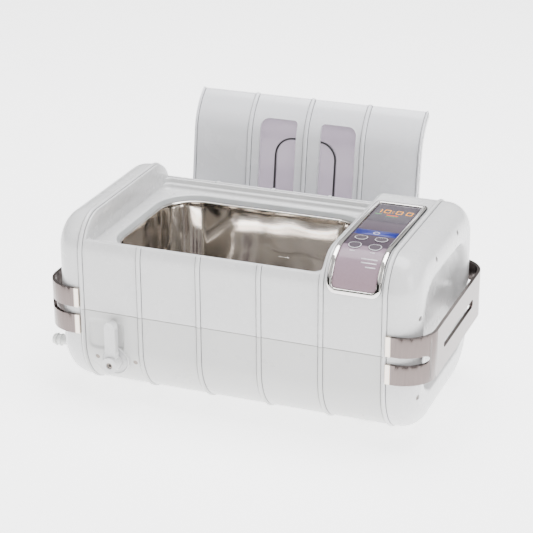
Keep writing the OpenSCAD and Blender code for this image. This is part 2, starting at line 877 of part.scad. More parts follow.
module lid_shell() {
  color([0.84, 0.84, 0.86]) parked() difference() {
    union() {
      lid_sheet(-lid_l / 2, lid_l / 2, 0, lid_t);
      for (i = [0 : 4])
        lid_sheet(max(-lid_l / 2, (i - 2) * rib_pitch - bead_w / 2),
          min(lid_l / 2, (i - 2) * rib_pitch + bead_w / 2), -bead_h, lid_t);
      for (side = [-1, 1]) intersection() {
        lid_sheet(side * (lid_l / 2 - 1.3) - 1.3, side * (lid_l / 2 - 1.3) + 1.3, 0, 9);
        translate([-200, -20, -200]) cube([400, 100, 400]);
      }
    }
    lid_openings();
  }
}

module lid_window() {
  color([0.62, 0.56, 0.64]) parked()
    lid_sheet_part(window_x[0][0] - window_lap, window_x[1][1] + window_lap,
      window_bottom - window_lap, window_top + window_lap, lid_t + eps, lid_t + pane_t);
}

// Part of a lid sheet between s0 and s1
module lid_sheet_part(x0, x1, s0, s1, t0, t1) {
  intersection() {
    lid_sheet(x0, x1, t0, t1);
    translate([x0 - 1, -20, s0]) cube([x1 - x0 + 2, 80, s1 - s0]);
  }
}

// Black rib on the window in the shape of an arch
module lid_bead() {
  bead_half = 36;
  bead_top = 66;
  bead_t = 2;
  color([0.05, 0.05, 0.05]) parked() translate([0, lid_t + pane_t + arch_gap, 0]) rotate([-90, 0, 0])
    mirror([0, 1, 0]) linear_extrude(1.6) difference() {
      arch(bead_half, bead_top);
      arch(bead_half - bead_t, bead_top - bead_t);
    }
}

// Flat arch with legs down to the window's lower edge
module arch(half_w, top) {
  r = 21;
  translate([-half_w, window_bottom]) square([2 * half_w, top - r - window_bottom]);
  translate([-half_w + r, 0]) square([2 * (half_w - r), top]);
  for (side = [-1, 1]) translate([side * (half_w - r), top - r]) circle(r);
}

module lid_window_clips() {
  color([0.8, 0.8, 0.82]) parked() for (edge = [[window_x[0][0], -1], [window_x[1][1], 1]],
    s = [-40, 40]) translate([edge[0] + edge[1] * (window_lap + 2.7), lid_t + eps, s]) {
      translate([-2.5, 0, -5]) cube([5, 5, 10]);
      translate([edge[1] > 0 ? -6.5 : -2.5, 2.1, -5]) cube([9, 2.9, 10]);
    }
}

module at_holder_screws() {
  for (x = holder_x, z = [58, 76]) translate([x, 0, z]) children();
}

// Two J-shaped hooks that carry the parked lid by its lower lip
module lid_holders() {
  front = half_d + eps;
  color([0.84, 0.85, 0.85]) difference() {
    for (x = holder_x) {
      block(x - holder_w / 2, x + holder_w / 2, front, front + 2.4, tray_z - 4.1, 84);
      block(x - holder_w / 2, x + holder_w / 2, front, 138, tray_z - 4.1, tray_z);
      block(x - holder_w / 2, x + holder_w / 2, 134.5, 138, tray_z - 4.1, 64);
      for (side = [-1, 1])
        block(x + side * 16.5 - 1.5, x + side * 16.5 + 1.5, front, 120, tray_z - 1, tray_z + 3);
    }
    at_holder_screws() rod_y(0, 0, 105, 115, 1.6);
    at_holder_screws() rod_y(0, 0, front + 1.1, 115, 3);
  }
}

module lid_holder_screws() {
  front = half_d + eps;
  color("silver") at_holder_screws() {
    rod_y(0, 0, front + 1.15, front + 2.35, 2.8);
    rod_y(0, 0, 99, front + 1.2, 1.45);
  }
}

lower_casing();
upper_casing();
deck_panel();
left_end_cap();
right_end_cap();
end_cap_screws();
tank();
tank_gasket();
heater_pad();
temperature_sensor();
left_transducer();
right_transducer();
console_frame();
console_face();
display_module();
control_board();
on_off_key();
heat_key();
time_up_key();
time_down_key();
driver_board();
board_parts();
fan_frame();
fan_rotor();
fan_screws();
left_handle();
right_handle();
handle_studs();
handle_nuts();
valve_body();
valve_ball();
valve_stem();
drain_lever();
lever_screw();
drain_dial();
valve_screws();
drain_pipe();
outlet_pipe();
hose_nozzle();
mains_inlet();
inlet_pins();
inlet_screws();
feet();
foot_screws();
lid_shell();
lid_window();
lid_bead();
lid_window_clips();
lid_holders();
lid_holder_screws();
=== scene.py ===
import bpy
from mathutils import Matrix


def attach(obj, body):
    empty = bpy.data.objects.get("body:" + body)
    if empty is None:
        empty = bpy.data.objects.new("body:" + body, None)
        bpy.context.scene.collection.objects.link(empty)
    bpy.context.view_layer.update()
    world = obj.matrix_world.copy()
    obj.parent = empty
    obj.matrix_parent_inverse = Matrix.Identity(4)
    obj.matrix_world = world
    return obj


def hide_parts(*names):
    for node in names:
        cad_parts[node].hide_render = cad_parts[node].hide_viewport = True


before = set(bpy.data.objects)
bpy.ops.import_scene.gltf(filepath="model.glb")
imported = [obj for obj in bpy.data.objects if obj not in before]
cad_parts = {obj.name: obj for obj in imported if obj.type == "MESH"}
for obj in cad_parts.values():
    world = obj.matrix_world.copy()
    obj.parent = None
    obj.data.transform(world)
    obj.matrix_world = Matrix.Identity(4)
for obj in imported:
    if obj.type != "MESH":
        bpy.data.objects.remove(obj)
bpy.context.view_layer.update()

import math
import bpy
import bmesh
from mathutils import Matrix, Vector

MM = 0.001

# ---- Dimensions that repeat part.scad, in mm ----
HALF_L, HALF_D, BODY_H = 165.0, 108.5, 196.5
TOP_R, LOW_R, WALL = 38.5, 60.0, 3.0
SPLIT_Z, EDGE_Z, DECK_Z = 97.5, 173.7, 163.0
BEAD = 1.8
END_X, CAP_R = 197.0, 25.0
TANK_X, TANK_L, TANK_W, TANK_R = -28.0, 233.0, 166.0, 40.0
LEAN = math.radians(8.5)
LID_X, LID_Y, LID_Z = -6.0, 123.1, 160.3
LIP_R, LIP_ANG, LID_FLAT, LID_HALF, LID_T = 59.5, math.radians(50.8), 62.5, 132.0, 2.6
RIBS = (-165.0, -99.0, -33.0, 33.0, 99.0, 165.0)
DECK_Y0 = 52.0
FRAME_X0, FRAME_X1, FRAME_Y1, FRAME_LOW = 105.0, 161.0, 50.0, 158.5
KEY_X, KEY_Y = (122.5, 143.5), (-54.9, -74.5)
PIVOT_X, PIVOT_Z = -128.6, 44.3


# ---- Mesh helpers ----

def new_object(name, verts, faces, material, smooth=True, slots=None):
    """Mesh object from points in mm, with its materials, slots and smooth shading."""
    mesh = bpy.data.meshes.new(name)
    mesh.from_pydata([(x * MM, y * MM, z * MM) for x, y, z in verts], [], faces)
    mesh.validate()
    obj = bpy.data.objects.new(name, mesh)
    bpy.context.collection.objects.link(obj)
    for m in (material if isinstance(material, (list, tuple)) else [material]):
        mesh.materials.append(m)
    if slots:
        for poly, index in zip(mesh.polygons, slots):
            poly.material_index = index
    for poly in mesh.polygons:
        poly.use_smooth = smooth
    return obj


def fix_normals(obj, merge=0.00002):
    bm = bmesh.new()
    bm.from_mesh(obj.data)
    bmesh.ops.remove_doubles(bm, verts=bm.verts, dist=merge)
    bmesh.ops.recalc_face_normals(bm, faces=bm.faces)
    bm.to_mesh(obj.data)
    bm.free()
    obj.data.update()
    return obj


def sharpen(obj, degrees=35):
    """Smooth shading that keeps edges sharper than the angle."""
    bm = bmesh.new()
    bm.from_mesh(obj.data)
    limit = math.radians(degrees)
    for edge in bm.edges:
        edge.smooth = len(edge.link_faces) == 2 and edge.calc_face_angle(0) < limit
    for face in bm.faces:
        face.smooth = True
    bm.to_mesh(obj.data)
    bm.free()
    return obj


def grid(rows, close_rows=False, close_cols=False):
    """Vertices and quads of a grid of rows that all have the same length."""
    verts = [p for row in rows for p in row]
    n, m = len(rows), len(rows[0])
    faces = []
    for i in range(n if close_rows else n - 1):
        for j in range(m if close_cols else m - 1):
            a, b = i * m + j, i * m + (j + 1) % m
            c, d = ((i + 1) % n) * m + (j + 1) % m, ((i + 1) % n) * m + j
            faces.append((a, b, c, d))
    return verts, faces


def apply_modifiers(obj):
    graph = bpy.context.evaluated_depsgraph_get()
    mesh = bpy.data.meshes.new_from_object(obj.evaluated_get(graph))
    old = obj.data
    obj.modifiers.clear()
    obj.data = mesh
    bpy.data.meshes.remove(old)
    return obj


def cut(obj, cutters):
    """Subtracts the cutters and removes them."""
    for cutter in cutters:
        mod = obj.modifiers.new("cut", "BOOLEAN")
        mod.operation = "DIFFERENCE"
        mod.solver = "EXACT"
        mod.object = cutter
    apply_modifiers(obj)
    for cutter in cutters:
        bpy.data.objects.remove(cutter, do_unlink=True)
    return obj


def soften(obj, width=0.6, segments=2, angle=32):
    """Welds, rounds the sharp edges and evens out the shading of a hard-edged mesh."""
    weld = obj.modifiers.new("weld", "WELD")
    weld.merge_threshold = 0.00002
    bevel = obj.modifiers.new("bevel", "BEVEL")
    bevel.width = width * MM
    bevel.segments = segments
    bevel.limit_method = "ANGLE"
    bevel.angle_limit = math.radians(angle)
    bevel.use_clamp_overlap = True
    bevel.harden_normals = True
    return obj


def lerp(a, b, t):
    return a + (b - a) * t


def step(t):
    t = max(0.0, min(1.0, t))
    return t * t * (3 - 2 * t)


def span(a, b, n):
    return [a + (b - a) * i / n for i in range(n + 1)]


def unique(values, gap=0.02):
    out = []
    for v in sorted(values):
        if not out or v - out[-1] > gap:
            out.append(v)
    return out


# ---- Casing section ----

def section_arcs(inset):
    """Centres and radii of the four rounded corners of the section, in y and z."""
    d, hi, lo = HALF_D - inset, BODY_H - inset, inset
    rt, rb = max(TOP_R - inset, 0.3), max(LOW_R - inset, 0.3)
    return d, hi, lo, rt, rb


def section_point(key, inset):
    kind, v = key
    d, hi, lo, rt, rb = section_arcs(inset)
    if kind == "top":
        return (-v * (d - rt), hi)
    if kind == "low":
        return (v * (d - rb), lo)
    a = math.radians(v)
    if kind == "ft":
        return (-(d - rt) - rt * math.sin(a), hi - rt + rt * math.cos(a))
    if kind == "bt":
        a = math.radians(90 - v)
        return ((d - rt) + rt * math.sin(a), hi - rt + rt * math.cos(a))
    if kind == "fb":
        return (-(d - rb) - rb * math.cos(a), lo + rb - rb * math.sin(a))
    if kind == "bb":
        a = math.radians(90 - v)
        return ((d - rb) + rb * math.cos(a), lo + rb - rb * math.sin(a))
    z = v
    z = max(min(z, hi - rt), lo + rb)
    return (-d if kind == "front" else d, z)


def bead_inset(x, centre, half=2.3, height=BEAD):
    """Outline of one rib: a half-round bead with a fine groove on each side."""
    u = abs(x - centre)
    if u <= half:
        return -height * math.sqrt(max(0.0, 1 - (u / half) ** 2))
    if u <= half + 0.8:
        return 0.55 * math.sin((u - half) / 0.8 * math.pi)
    return 0.0


def ribbed(x):
    return max((bead_inset(x, c) for c in RIBS), key=abs)


def rib_stations(x0, x1):
    out = [x0, x1] + span(x0, x1, 20)
    for c in RIBS:
        for u in (0, 0.5, 1.0, 1.45, 1.8, 2.05, 2.2, 2.3, 2.5, 2.7, 2.9, 3.1, 3.5, 4.5):
            out += [c - u, c + u]
    return unique([x for x in out if x0 <= x <= x1])


# ---- Materials ----

def node_material(name):
    mat = bpy.data.materials.new(name)
    mat.use_nodes = True
    nodes, links = mat.node_tree.nodes, mat.node_tree.links
    nodes.clear()
    out = nodes.new("ShaderNodeOutputMaterial")
    shader = nodes.new("ShaderNodeBsdfPrincipled")
    links.new(shader.outputs[0], out.inputs[0])
    return mat, nodes, links, shader


def put(shader, **values):
    names = {"color": "Base Color", "rough": "Roughness", "metal": "Metallic", "spec": "Specular IOR Level",
             "coat": "Coat Weight", "coat_rough": "Coat Roughness", "ior": "IOR", "trans": "Transmission Weight",
             "alpha": "Alpha", "aniso": "Anisotropic", "sss": "Subsurface Weight", "glow": "Emission Strength",
             "glow_color": "Emission Color"}
    for key, value in values.items():
        socket = shader.inputs[names[key]]
        if key in ("color", "glow_color"):
            value = tuple(value) + (1.0,)
        socket.default_value = value


def coords(nodes, links, scale=(1, 1, 1)):
    tex = nodes.new("ShaderNodeTexCoord")
    mapping = nodes.new("ShaderNodeMapping")
    mapping.inputs["Scale"].default_value = scale
    links.new(tex.outputs["Object"], mapping.inputs[0])
    return mapping.outputs[0]


def noise(nodes, links, vector, scale, detail=4.0, rough=0.55):
    tex = nodes.new("ShaderNodeTexNoise")
    tex.inputs["Scale"].default_value = scale
    tex.inputs["Detail"].default_value = detail
    tex.inputs["Roughness"].default_value = rough
    links.new(vector, tex.inputs["Vector"])
    return tex.outputs["Fac"]


def ramp(nodes, links, value, stops):
    node = nodes.new("ShaderNodeValToRGB")
    elements = node.color_ramp.elements
    while len(elements) < len(stops):
        elements.new(0.5)
    for element, (place, color) in zip(elements, stops):
        element.position = place
        element.color = tuple(color) + (1.0,)
    links.new(value, node.inputs[0])
    return node.outputs[0]


def grey(v):
    return (v, v, v)


def math_node(nodes, links, op, a, b=None, clamp=False):
    node = nodes.new("ShaderNodeMath")
    node.operation = op
    node.use_clamp = clamp
    for i, v in enumerate((a, b)):
        if v is None:
            continue
        if isinstance(v, (int, float)):
            node.inputs[i].default_value = v
        else:
            links.new(v, node.inputs[i])
    return node.outputs[0]


def bump(nodes, links, shader, height, strength, distance, coat=False):
    node = nodes.new("ShaderNodeBump")
    node.inputs["Strength"].default_value = strength
    node.inputs["Distance"].default_value = distance
    links.new(height, node.inputs["Height"])
    links.new(node.outputs[0], shader.inputs["Normal"])
    if coat:
        links.new(node.outputs[0], shader.inputs["Coat Normal"])
    return node


def crease_shade_edge_highlight(nodes):
    """Pointiness of the mesh: above a half on outer edges, below in creases; plastic() turns it into painted edge
    highlight and painted crease shade.
    """
    geo = nodes.new("ShaderNodeNewGeometry")
    return geo.outputs["Pointiness"]


def plastic(name, color, rough=0.32, variation=0.03, grain=0.05, coat=0.25):
    """Semi-gloss moulded plastic: fine texture, slight mottling, painted highlight on the edges, painted shade in the
    creases.
    """
    mat, nodes, links, shader = node_material(name)
    vec = coords(nodes, links)
    big = noise(nodes, links, vec, 9.0, 3.0)
    lo = tuple(c * (1 - variation) for c in color)
    hi = tuple(min(1.0, c * (1 + variation)) for c in color)
    tone = ramp(nodes, links, big, [(0.3, lo), (0.7, hi)])
    # Painted light: the creases are darkened as painted shade and the outer edges lightened as painted highlight.
    painted_shade_and_highlight = ramp(nodes, links, crease_shade_edge_highlight(nodes), [(0.42, grey(0.80)), (0.5, grey(1.0)), (0.62, grey(1.05))])
    mix = nodes.new("ShaderNodeMix")
    mix.data_type = "RGBA"
    mix.blend_type = "MULTIPLY"
    mix.inputs[0].default_value = 0.8
    links.new(tone, mix.inputs[6])
    links.new(painted_shade_and_highlight, mix.inputs[7])
    links.new(mix.outputs[2], shader.inputs["Base Color"])
    smear = noise(nodes, links, vec, 38.0, 5.0)
    r = ramp(nodes, links, smear, [(0.25, grey(rough - 0.05)), (0.8, grey(rough + 0.07))])
    links.new(r, shader.inputs["Roughness"])
    fine = noise(nodes, links, vec, 2600.0, 2.0)
    bump(nodes, links, shader, fine, grain, 0.0002)
    put(shader, spec=0.5, coat=coat, coat_rough=0.12)
    return mat


def brushed(name, color, rough=0.24, axis=(1, 1, 60), scale=30.0, tint=0.12, strength=0.05, painted_end_highlight=False):
    """Metal with fine brush lines: scale is stretched along two axes and crowded along the third."""
    mat, nodes, links, shader = node_material(name)
    vec = coords(nodes, links, axis)
    lines = noise(nodes, links, vec, scale, 6.0, 0.7)
    blot = noise(nodes, links, coords(nodes, links), 14.0, 3.0)
    lo = tuple(c * (1 - tint) for c in color)
    hi = tuple(min(1.0, c * (1 + tint)) for c in color)
    tone = ramp(nodes, links, lines, [(0.3, lo), (0.7, hi)])
    blots = ramp(nodes, links, blot, [(0.3, grey(0.9)), (0.7, grey(1.0))])
    mix = nodes.new("ShaderNodeMix")
    mix.data_type = "RGBA"
    mix.blend_type = "MULTIPLY"
    mix.inputs[0].default_value = 1.0
    links.new(tone, mix.inputs[6])
    links.new(blots, mix.inputs[7])
    links.new(mix.outputs[2], shader.inputs["Base Color"])
    r = ramp(nodes, links, lines, [(0.2, grey(rough - 0.06)), (0.85, grey(rough + 0.1))])
    links.new(r, shader.inputs["Roughness"])
    bump(nodes, links, shader, lines, strength, 0.0001)
    put(shader, metal=1.0)
    # Painted highlight: a pale band over the strap's tine tips, where |x| is under 172.2 mm, standing in for the bright
    # vertical reflection at their ends.
    if painted_end_highlight:
        sep = nodes.new("ShaderNodeSeparateXYZ")
        links.new(coords(nodes, links), sep.inputs[0])
        reach = math_node(nodes, links, "ABSOLUTE", sep.outputs[0])
        near = math_node(nodes, links, "MULTIPLY", reach, 5.0)
        band = ramp(nodes, links, near, [(0.0, grey(1.0)), (0.861, grey(1.0)), (0.864, grey(0.0)), (1.0, grey(0.0))])
        end_highlight_mix = nodes.new("ShaderNodeMix")
        end_highlight_mix.data_type = "RGBA"
        links.new(band, end_highlight_mix.inputs[0])
        links.new(mix.outputs[2], end_highlight_mix.inputs[6])
        end_highlight_mix.inputs[7].default_value = (0.78, 0.70, 0.62, 1.0)
        links.new(end_highlight_mix.outputs[2], shader.inputs["Base Color"])
    return mat


def polished(name, color, rough=0.06, wave=0.25, wave_scale=14.0, smudge=0.05):
    """Mirror-polished metal with the slow waves of a pressing, faint smudges and hairlines."""
    mat, nodes, links, shader = node_material(name)
    vec = coords(nodes, links)
    slow = noise(nodes, links, vec, wave_scale, 1.0)
    fine = noise(nodes, links, vec, 900.0, 3.0)
    both = math_node(nodes, links, "ADD", slow, math_node(nodes, links, "MULTIPLY", fine, 0.01))
    bump(nodes, links, shader, both, wave, 0.004)
    tone = ramp(nodes, links, noise(nodes, links, vec, 22.0, 4.0),
                [(0.3, tuple(c * 0.93 for c in color)), (0.7, color)])
    links.new(tone, shader.inputs["Base Color"])
    r = ramp(nodes, links, noise(nodes, links, vec, 60.0, 6.0), [(0.35, grey(rough)), (0.8, grey(rough + smudge))])
    links.new(r, shader.inputs["Roughness"])
    put(shader, metal=1.0)
    return mat


def rubber(name, color, rough=0.7, grain=0.25):
    mat, nodes, links, shader = node_material(name)
    vec = coords(nodes, links)
    tone = ramp(nodes, links, noise(nodes, links, vec, 30.0, 5.0),
                [(0.3, tuple(c * 0.85 for c in color)), (0.75, tuple(min(1, c * 1.15) for c in color))])
    links.new(tone, shader.inputs["Base Color"])
    r = ramp(nodes, links, noise(nodes, links, vec, 80.0, 4.0), [(0.3, grey(rough - 0.08)), (0.8, grey(rough + 0.1))])
    links.new(r, shader.inputs["Roughness"])
    bump(nodes, links, shader, noise(nodes, links, vec, 1400.0, 3.0), grain, 0.0002)
    put(shader, spec=0.4)
    return mat


M = {}
M["casing"] = plastic("casing_plastic", (0.53, 0.53, 0.52), 0.30)
M["light"] = plastic("casing_light", (0.62, 0.62, 0.62), 0.26)
M["crease"] = plastic("crease_shade", (0.17, 0.17, 0.175), 0.5, coat=0.0)
M["seam"] = plastic("seam_shade", (0.36, 0.35, 0.33), 0.5, coat=0.0)
M["lid"] = plastic("lid_plastic", (0.67, 0.675, 0.70), 0.26)
M["white"] = plastic("white_nylon", (0.72, 0.73, 0.71), 0.4)
M["tank"] = polished("polished_steel", (0.70, 0.665, 0.625), 0.045, 0.35, 16.0)
M["chrome"] = polished("chrome_trim", (0.74, 0.715, 0.69), 0.05, 0.03, 8.0)
M["nickel"] = brushed("satin_nickel", (0.155, 0.128, 0.121), 0.20, (60, 60, 1.2), 26.0, painted_end_highlight=True)
M["zinc"] = brushed("zinc_steel", (0.60, 0.60, 0.61), 0.32, (1, 1, 8), 60.0)
M["screw"] = brushed("dark_screw", (0.22, 0.19, 0.17), 0.35, (8, 1, 1), 80.0)
M["alu"] = brushed("turned_aluminium", (0.68, 0.68, 0.70), 0.3, (1, 1, 40), 30.0)
M["gasket"] = rubber("grey_silicone", (0.36, 0.37, 0.37), 0.5, 0.1)
M["rubber"] = rubber("black_rubber", (0.02, 0.02, 0.021), 0.6)
M["black"] = plastic("black_plastic", (0.018, 0.018, 0.02), 0.45, 0.1, 0.2, 0.0)
M["heater"] = rubber("orange_silicone", (0.55, 0.16, 0.04), 0.6, 0.3)
M["board"] = plastic("circuit_board", (0.02, 0.16, 0.06), 0.35, 0.12, 0.3, 0.3)
M["parts"] = plastic("board_parts", (0.05, 0.05, 0.06), 0.4, 0.15, 0.1, 0.1)

# ---- Camera, floor and light ----

cam_data = bpy.data.cameras.new("camera")
cam = bpy.data.objects.new("camera", cam_data)
bpy.context.collection.objects.link(cam)
back = -Vector((-0.3374948, 0.8583189, -0.3865048)).normalized()
up = Vector((-0.1356980, 0.3619451, 0.9222699)).normalized()
right = up.cross(back).normalized()
up = back.cross(right)
cam.matrix_world = Matrix(((right.x, up.x, back.x, 0.63496), (right.y, up.y, back.y, -1.61650),
                           (right.z, up.z, back.z, 0.85490), (0, 0, 0, 1)))
cam_data.sensor_width = 36.0
cam_data.lens = 120.06
cam_data.clip_start = 0.05
cam_data.clip_end = 50.0
bpy.context.scene.camera = cam


def floor_material():
    mat, nodes, links, shader = node_material("floor_paper")
    vec = coords(nodes, links)
    tone = ramp(nodes, links, noise(nodes, links, vec, 3.0, 3.0), [(0.3, grey(0.90)), (0.7, grey(0.92))])
    links.new(tone, shader.inputs["Base Color"])
    put(shader, rough=0.9, spec=0.1, glow=2.4, glow_color=grey(1.0))
    return mat


floor_rows = [[(x, y, -5.05) for x in span(-6000, 6000, 12)] for y in span(-6000, 6000, 12)]
floor = new_object("floor", *grid(floor_rows), floor_material())


def area_light(name, place, aim, size, power, color=(1, 1, 1)):
    data = bpy.data.lights.new(name, "AREA")
    data.shape = "RECTANGLE"
    data.size, data.size_y = size
    data.energy = power
    data.color = color
    obj = bpy.data.objects.new(name, data)
    bpy.context.collection.objects.link(obj)
    obj.location = place
    obj.rotation_euler = (Vector(aim) - Vector(place)).to_track_quat("-Z", "Y").to_euler()
    return obj


area_light("key_left", (-1.6, -1.3, 1.9), (0, 0, 0.1), (1.2, 1.6), 12, (1.0, 0.99, 0.97))
area_light("top_soft", (0.1, 0.3, 2.3), (0, 0, 0.1), (2.0, 1.4), 115, (0.98, 0.98, 1.0))
area_light("fill_right", (2.2, -0.8, 1.2), (0, 0, 0.1), (0.9, 1.5), 34, (0.99, 0.99, 1.0))
area_light("front_low", (0.4, -2.6, 0.7), (0, 0, 0.1), (1.6, 0.9), 5, (1.0, 1.0, 1.0))

world = bpy.data.worlds.new("studio")
world.use_nodes = True
bpy.context.scene.world = world
wn, wl = world.node_tree.nodes, world.node_tree.links
wn.clear()
wout = wn.new("ShaderNodeOutputWorld")
wbg = wn.new("ShaderNodeBackground")
wtex = wn.new("ShaderNodeTexCoord")
wsep = wn.new("ShaderNodeSeparateXYZ")
wl.new(wtex.outputs["Generated"], wsep.inputs[0])
# Dark band just above the horizon, for contrast in the bright metal
wcol = ramp(wn, wl, math_node(wn, wl, "MULTIPLY_ADD", wsep.outputs[2], 0.5),
            [(0.0, grey(0.20)), (0.5, grey(0.03)), (0.645, grey(0.04)), (0.72, grey(0.95)), (1.0, grey(0.82))])
wl.new(wcol, wbg.inputs[0])
wbg.inputs[1].default_value = 0.95
wl.new(wbg.outputs[0], wout.inputs[0])


def mark_creases(obj, centres, seam=False):
    """Darkens the fine grooves beside the ribs and, if asked, the joint between the two shells."""
    first = len(obj.data.materials)
    obj.data.materials.append(M["crease"])
    obj.data.materials.append(M["seam"])
    for poly in obj.data.polygons:
        x, z = poly.center.x / MM, poly.center.z / MM
        if any(2.3 < abs(x - c) < 2.95 for c in centres):
            poly.material_index = first
        elif seam and abs(z - SPLIT_Z) < 0.32:
            poly.material_index = first + 1


# ---- Lower casing: ribbed tub with a rolled joint edge and a finger recess ----

def rect_distance(u, v, half_u, half_v, r):
    """Distance outside a rounded rectangle centred on 0, negative inside."""
    qu, qv = abs(u) - half_u + r, abs(v) - half_v + r
    return math.hypot(max(qu, 0), max(qv, 0)) + min(max(qu, qv), 0) - r


def finger_push(x, z):
    return 1.8 * step(0.5 - rect_distance(x + 139, z - 71.5, 19.5, 16, 6) / 3.4)


LOW_FRONT = [97.4, 97.2, 96.9, 96.3, 95.0, 93.4, 92.2, 91.4, 90.6, 89.8, 88.8, 87.4, 85.5, 82, 78, 74, 70, 66, 62]
LOW_KEYS = [("front", z) for z in LOW_FRONT] + [("fb", a) for a in span(0, 90, 54)]
LOW_KEYS += [("low", t) for t in span(-1, 1, 8)[1:-1]]
LOW_KEYS += [("bb", a) for a in span(0, 90, 30)] + [("back", z) for z in LOW_FRONT[::-1]]


def joint_roll(z, above):
    """Extra inset that rounds the edges of the two shells where they meet."""
    gap = (z - SPLIT_Z) if above else (SPLIT_Z - z)
    return 0.55 * max(0.0, 1 - gap / 0.7) ** 2 if gap < 0.7 else 0.0


def section_row(x, keys, inset, above=False, push=None):
    row = []
    for key in keys:
        extra = joint_roll(key[1], above) if key[0] in ("front", "back") else 0.0
        y, z = section_point(key, inset + extra)
        if push and y < 0:
            y += push(x, z)
        row.append((x, y, z))
    return row


def tube(xs, outer, inner):
    """Closed shell between outer rows and inner rows along xs, closed at both ends."""
    rows = [outer(x) + inner(x)[::-1] for x in xs]
    verts, faces = grid(rows, close_cols=True)
    n, m = len(rows), len(rows[0])
    half = m // 2
    for i in (0, n - 1):
        for j in range(half - 1):
            faces.append((i * m + j, i * m + j + 1, i * m + m - 2 - j, i * m + m - 1 - j))
    return verts, faces


low_x = unique(rib_stations(-HALF_L, HALF_L) + span(-161.5, -155, 10) + span(-123, -116.5, 10) + span(-155, -123, 12))
lower = new_object("lower_tub", *tube(
    low_x,
    lambda x: section_row(x, LOW_KEYS, ribbed(x), push=finger_push),
    lambda x: section_row(x, LOW_KEYS, WALL)), M["casing"])
fix_normals(lower)


def box_cutter(x0, x1, y0, y1, z0, z1):
    c = [(x, y, z) for x in (x0, x1) for y in (y0, y1) for z in (z0, z1)]
    f = [(0, 1, 3, 2), (4, 6, 7, 5), (0, 4, 5, 1), (2, 3, 7, 6), (0, 2, 6, 4), (1, 5, 7, 3)]
    return fix_normals(new_object("cutter", c, f, M["casing"]))


def slot_cutter(points, axis, a, b):
    """Prism on an outline given in the plane across the axis (0 x, 1 y, 2 z), from a to b."""
    n = len(points)
    verts = []
    for v in (a, b):
        for p, q in points:
            verts.append({0: (v, p, q), 1: (p, v, q), 2: (p, q, v)}[axis])
    faces = [tuple(range(n)), tuple(range(2 * n - 1, n - 1, -1))]
    faces += [(i, (i + 1) % n, n + (i + 1) % n, n + i) for i in range(n)]
    return fix_normals(new_object("cutter", verts, faces, M["casing"]))


def oval(cx, cy, half_x, half_y, n=10):
    r = min(half_x, half_y)
    pts = []
    for k in range(4 * n):
        a = 2 * math.pi * (k + 0.5) / (4 * n)
        c, s = math.cos(a), math.sin(a)
        pts.append((cx + r * c + math.copysign(half_x - r, c), cy + r * s + math.copysign(half_y - r, s)))
    return pts


vents = [slot_cutter(oval(132 + i * 6, 0, 1.5, 19), 2, -3, 6) for i in range(-2, 3)]
vents += [slot_cutter(oval(140 + i * 6, 40, 1.5, 12), 1, 80, 116) for i in range(-3, 4)]
vents.append(box_cutter(126.3, 153.7, 90, 116, 66.1, 85.9))
vents += [slot_cutter(oval(PIVOT_X + s * 21.9, PIVOT_Z, 2.6, 2.6), 1, -116, -104.6) for s in (-1, 1)]
cut(lower, vents)
sharpen(lower, 38)
mark_creases(lower, RIBS, seam=True)
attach(lower, "cleaner")
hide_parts("lower_casing")

# ---- Upper casing: front and back walls, ledges, deck, left wall and console block ----

EDGE_A = math.degrees(math.acos((EDGE_Z - (BODY_H - TOP_R)) / TOP_R))
UP_FRONT = [150, 140, 128, 114, 104, 100, 98.9, 98.3, 98.0, 97.8, 97.6]
edge_y = HALF_D - TOP_R + TOP_R * math.sin(math.radians(EDGE_A))


def strip_row(x, side):
    """Closed section of the front or back wall with its ledge."""
    keys = [("front", z) for z in UP_FRONT[::-1]] + [("ft", a) for a in span(90, EDGE_A, 10)]
    outer = [(-y, z) for _, y, z in section_row(x, keys, ribbed(x), above=True)]
    tail = edge_y
    outer += [(tail - 0.25, EDGE_Z + 0.35), (tail - 0.8, EDGE_Z + 0.5), (tail - 1.9, EDGE_Z + 0.5),
              (tail - 2.3, EDGE_Z + 0.2), (tail - 2.5, EDGE_Z - 0.9), (tail - 2.5, EDGE_Z - 6.0)]
    outer += [(104.0, 162.0), (105.5, 155.0), (105.5, 97.6)]
    return [(x, side * y, z) for y, z in outer]


def prism_rows(rows):
    """Solid through a list of closed rows, with flat ends."""
    verts, faces = grid(rows, close_cols=True)
    m = len(rows[0])
    faces.append(tuple(range(m)))
    faces.append(tuple(range((len(rows) - 1) * m, len(rows) * m)))
    return verts, faces


parts = []
strip_x = rib_stations(-HALF_L, 98.0)
for side in (-1, 1):
    parts.append(new_object("wall", *prism_rows([strip_row(x, side) for x in strip_x]), M["light"]))


# Rounded rectangles sampled alike, so that any two join into a band
def rounded(cx, cy, hx, hy, r, n_corner=14, n_side=12):
    pts = []
    quads = ((1, 1, 0), (-1, 1, 90), (-1, -1, 180), (1, -1, 270))
    r = max(r, 0.05)
    for q, (sx, sy, a0) in enumerate(quads):
        ox, oy = cx + sx * (hx - r), cy + sy * (hy - r)
        for k in range(n_corner + 1):
            a = math.radians(a0 + 90 * k / n_corner)
            pts.append((ox + r * math.cos(a), oy + r * math.sin(a)))
        nx_s, ny_s, a1 = quads[(q + 1) % 4]
        start = pts[-1]
        a = math.radians(a1)
        end = (cx + nx_s * (hx - r) + r * math.cos(a), cy + ny_s * (hy - r) + r * math.sin(a))
        for k in range(1, n_side):
            pts.append((lerp(start[0], end[0], k / n_side), lerp(start[1], end[1], k / n_side)))
    return pts


def at_height(outline, z):
    return [(x, y, z) for x, y in outline]


def basin_outline(off, front=0.0, rear=0.0):
    """Inner outline of the ledges, pulled in by off; rear moves only its back edge forward."""
    y0, y1 = -98.5 + off + front, 94.5 - off + rear
    return rounded(-32, (y0 + y1) / 2, 129 - off, (y1 - y0) / 2, max(9 - off * 0.4, 1))


def opening(off):
    return rounded(TANK_X, 0, TANK_L / 2 + 4.5 - off, TANK_W / 2 + 4.5 - off, TANK_R + 4.5 - off)


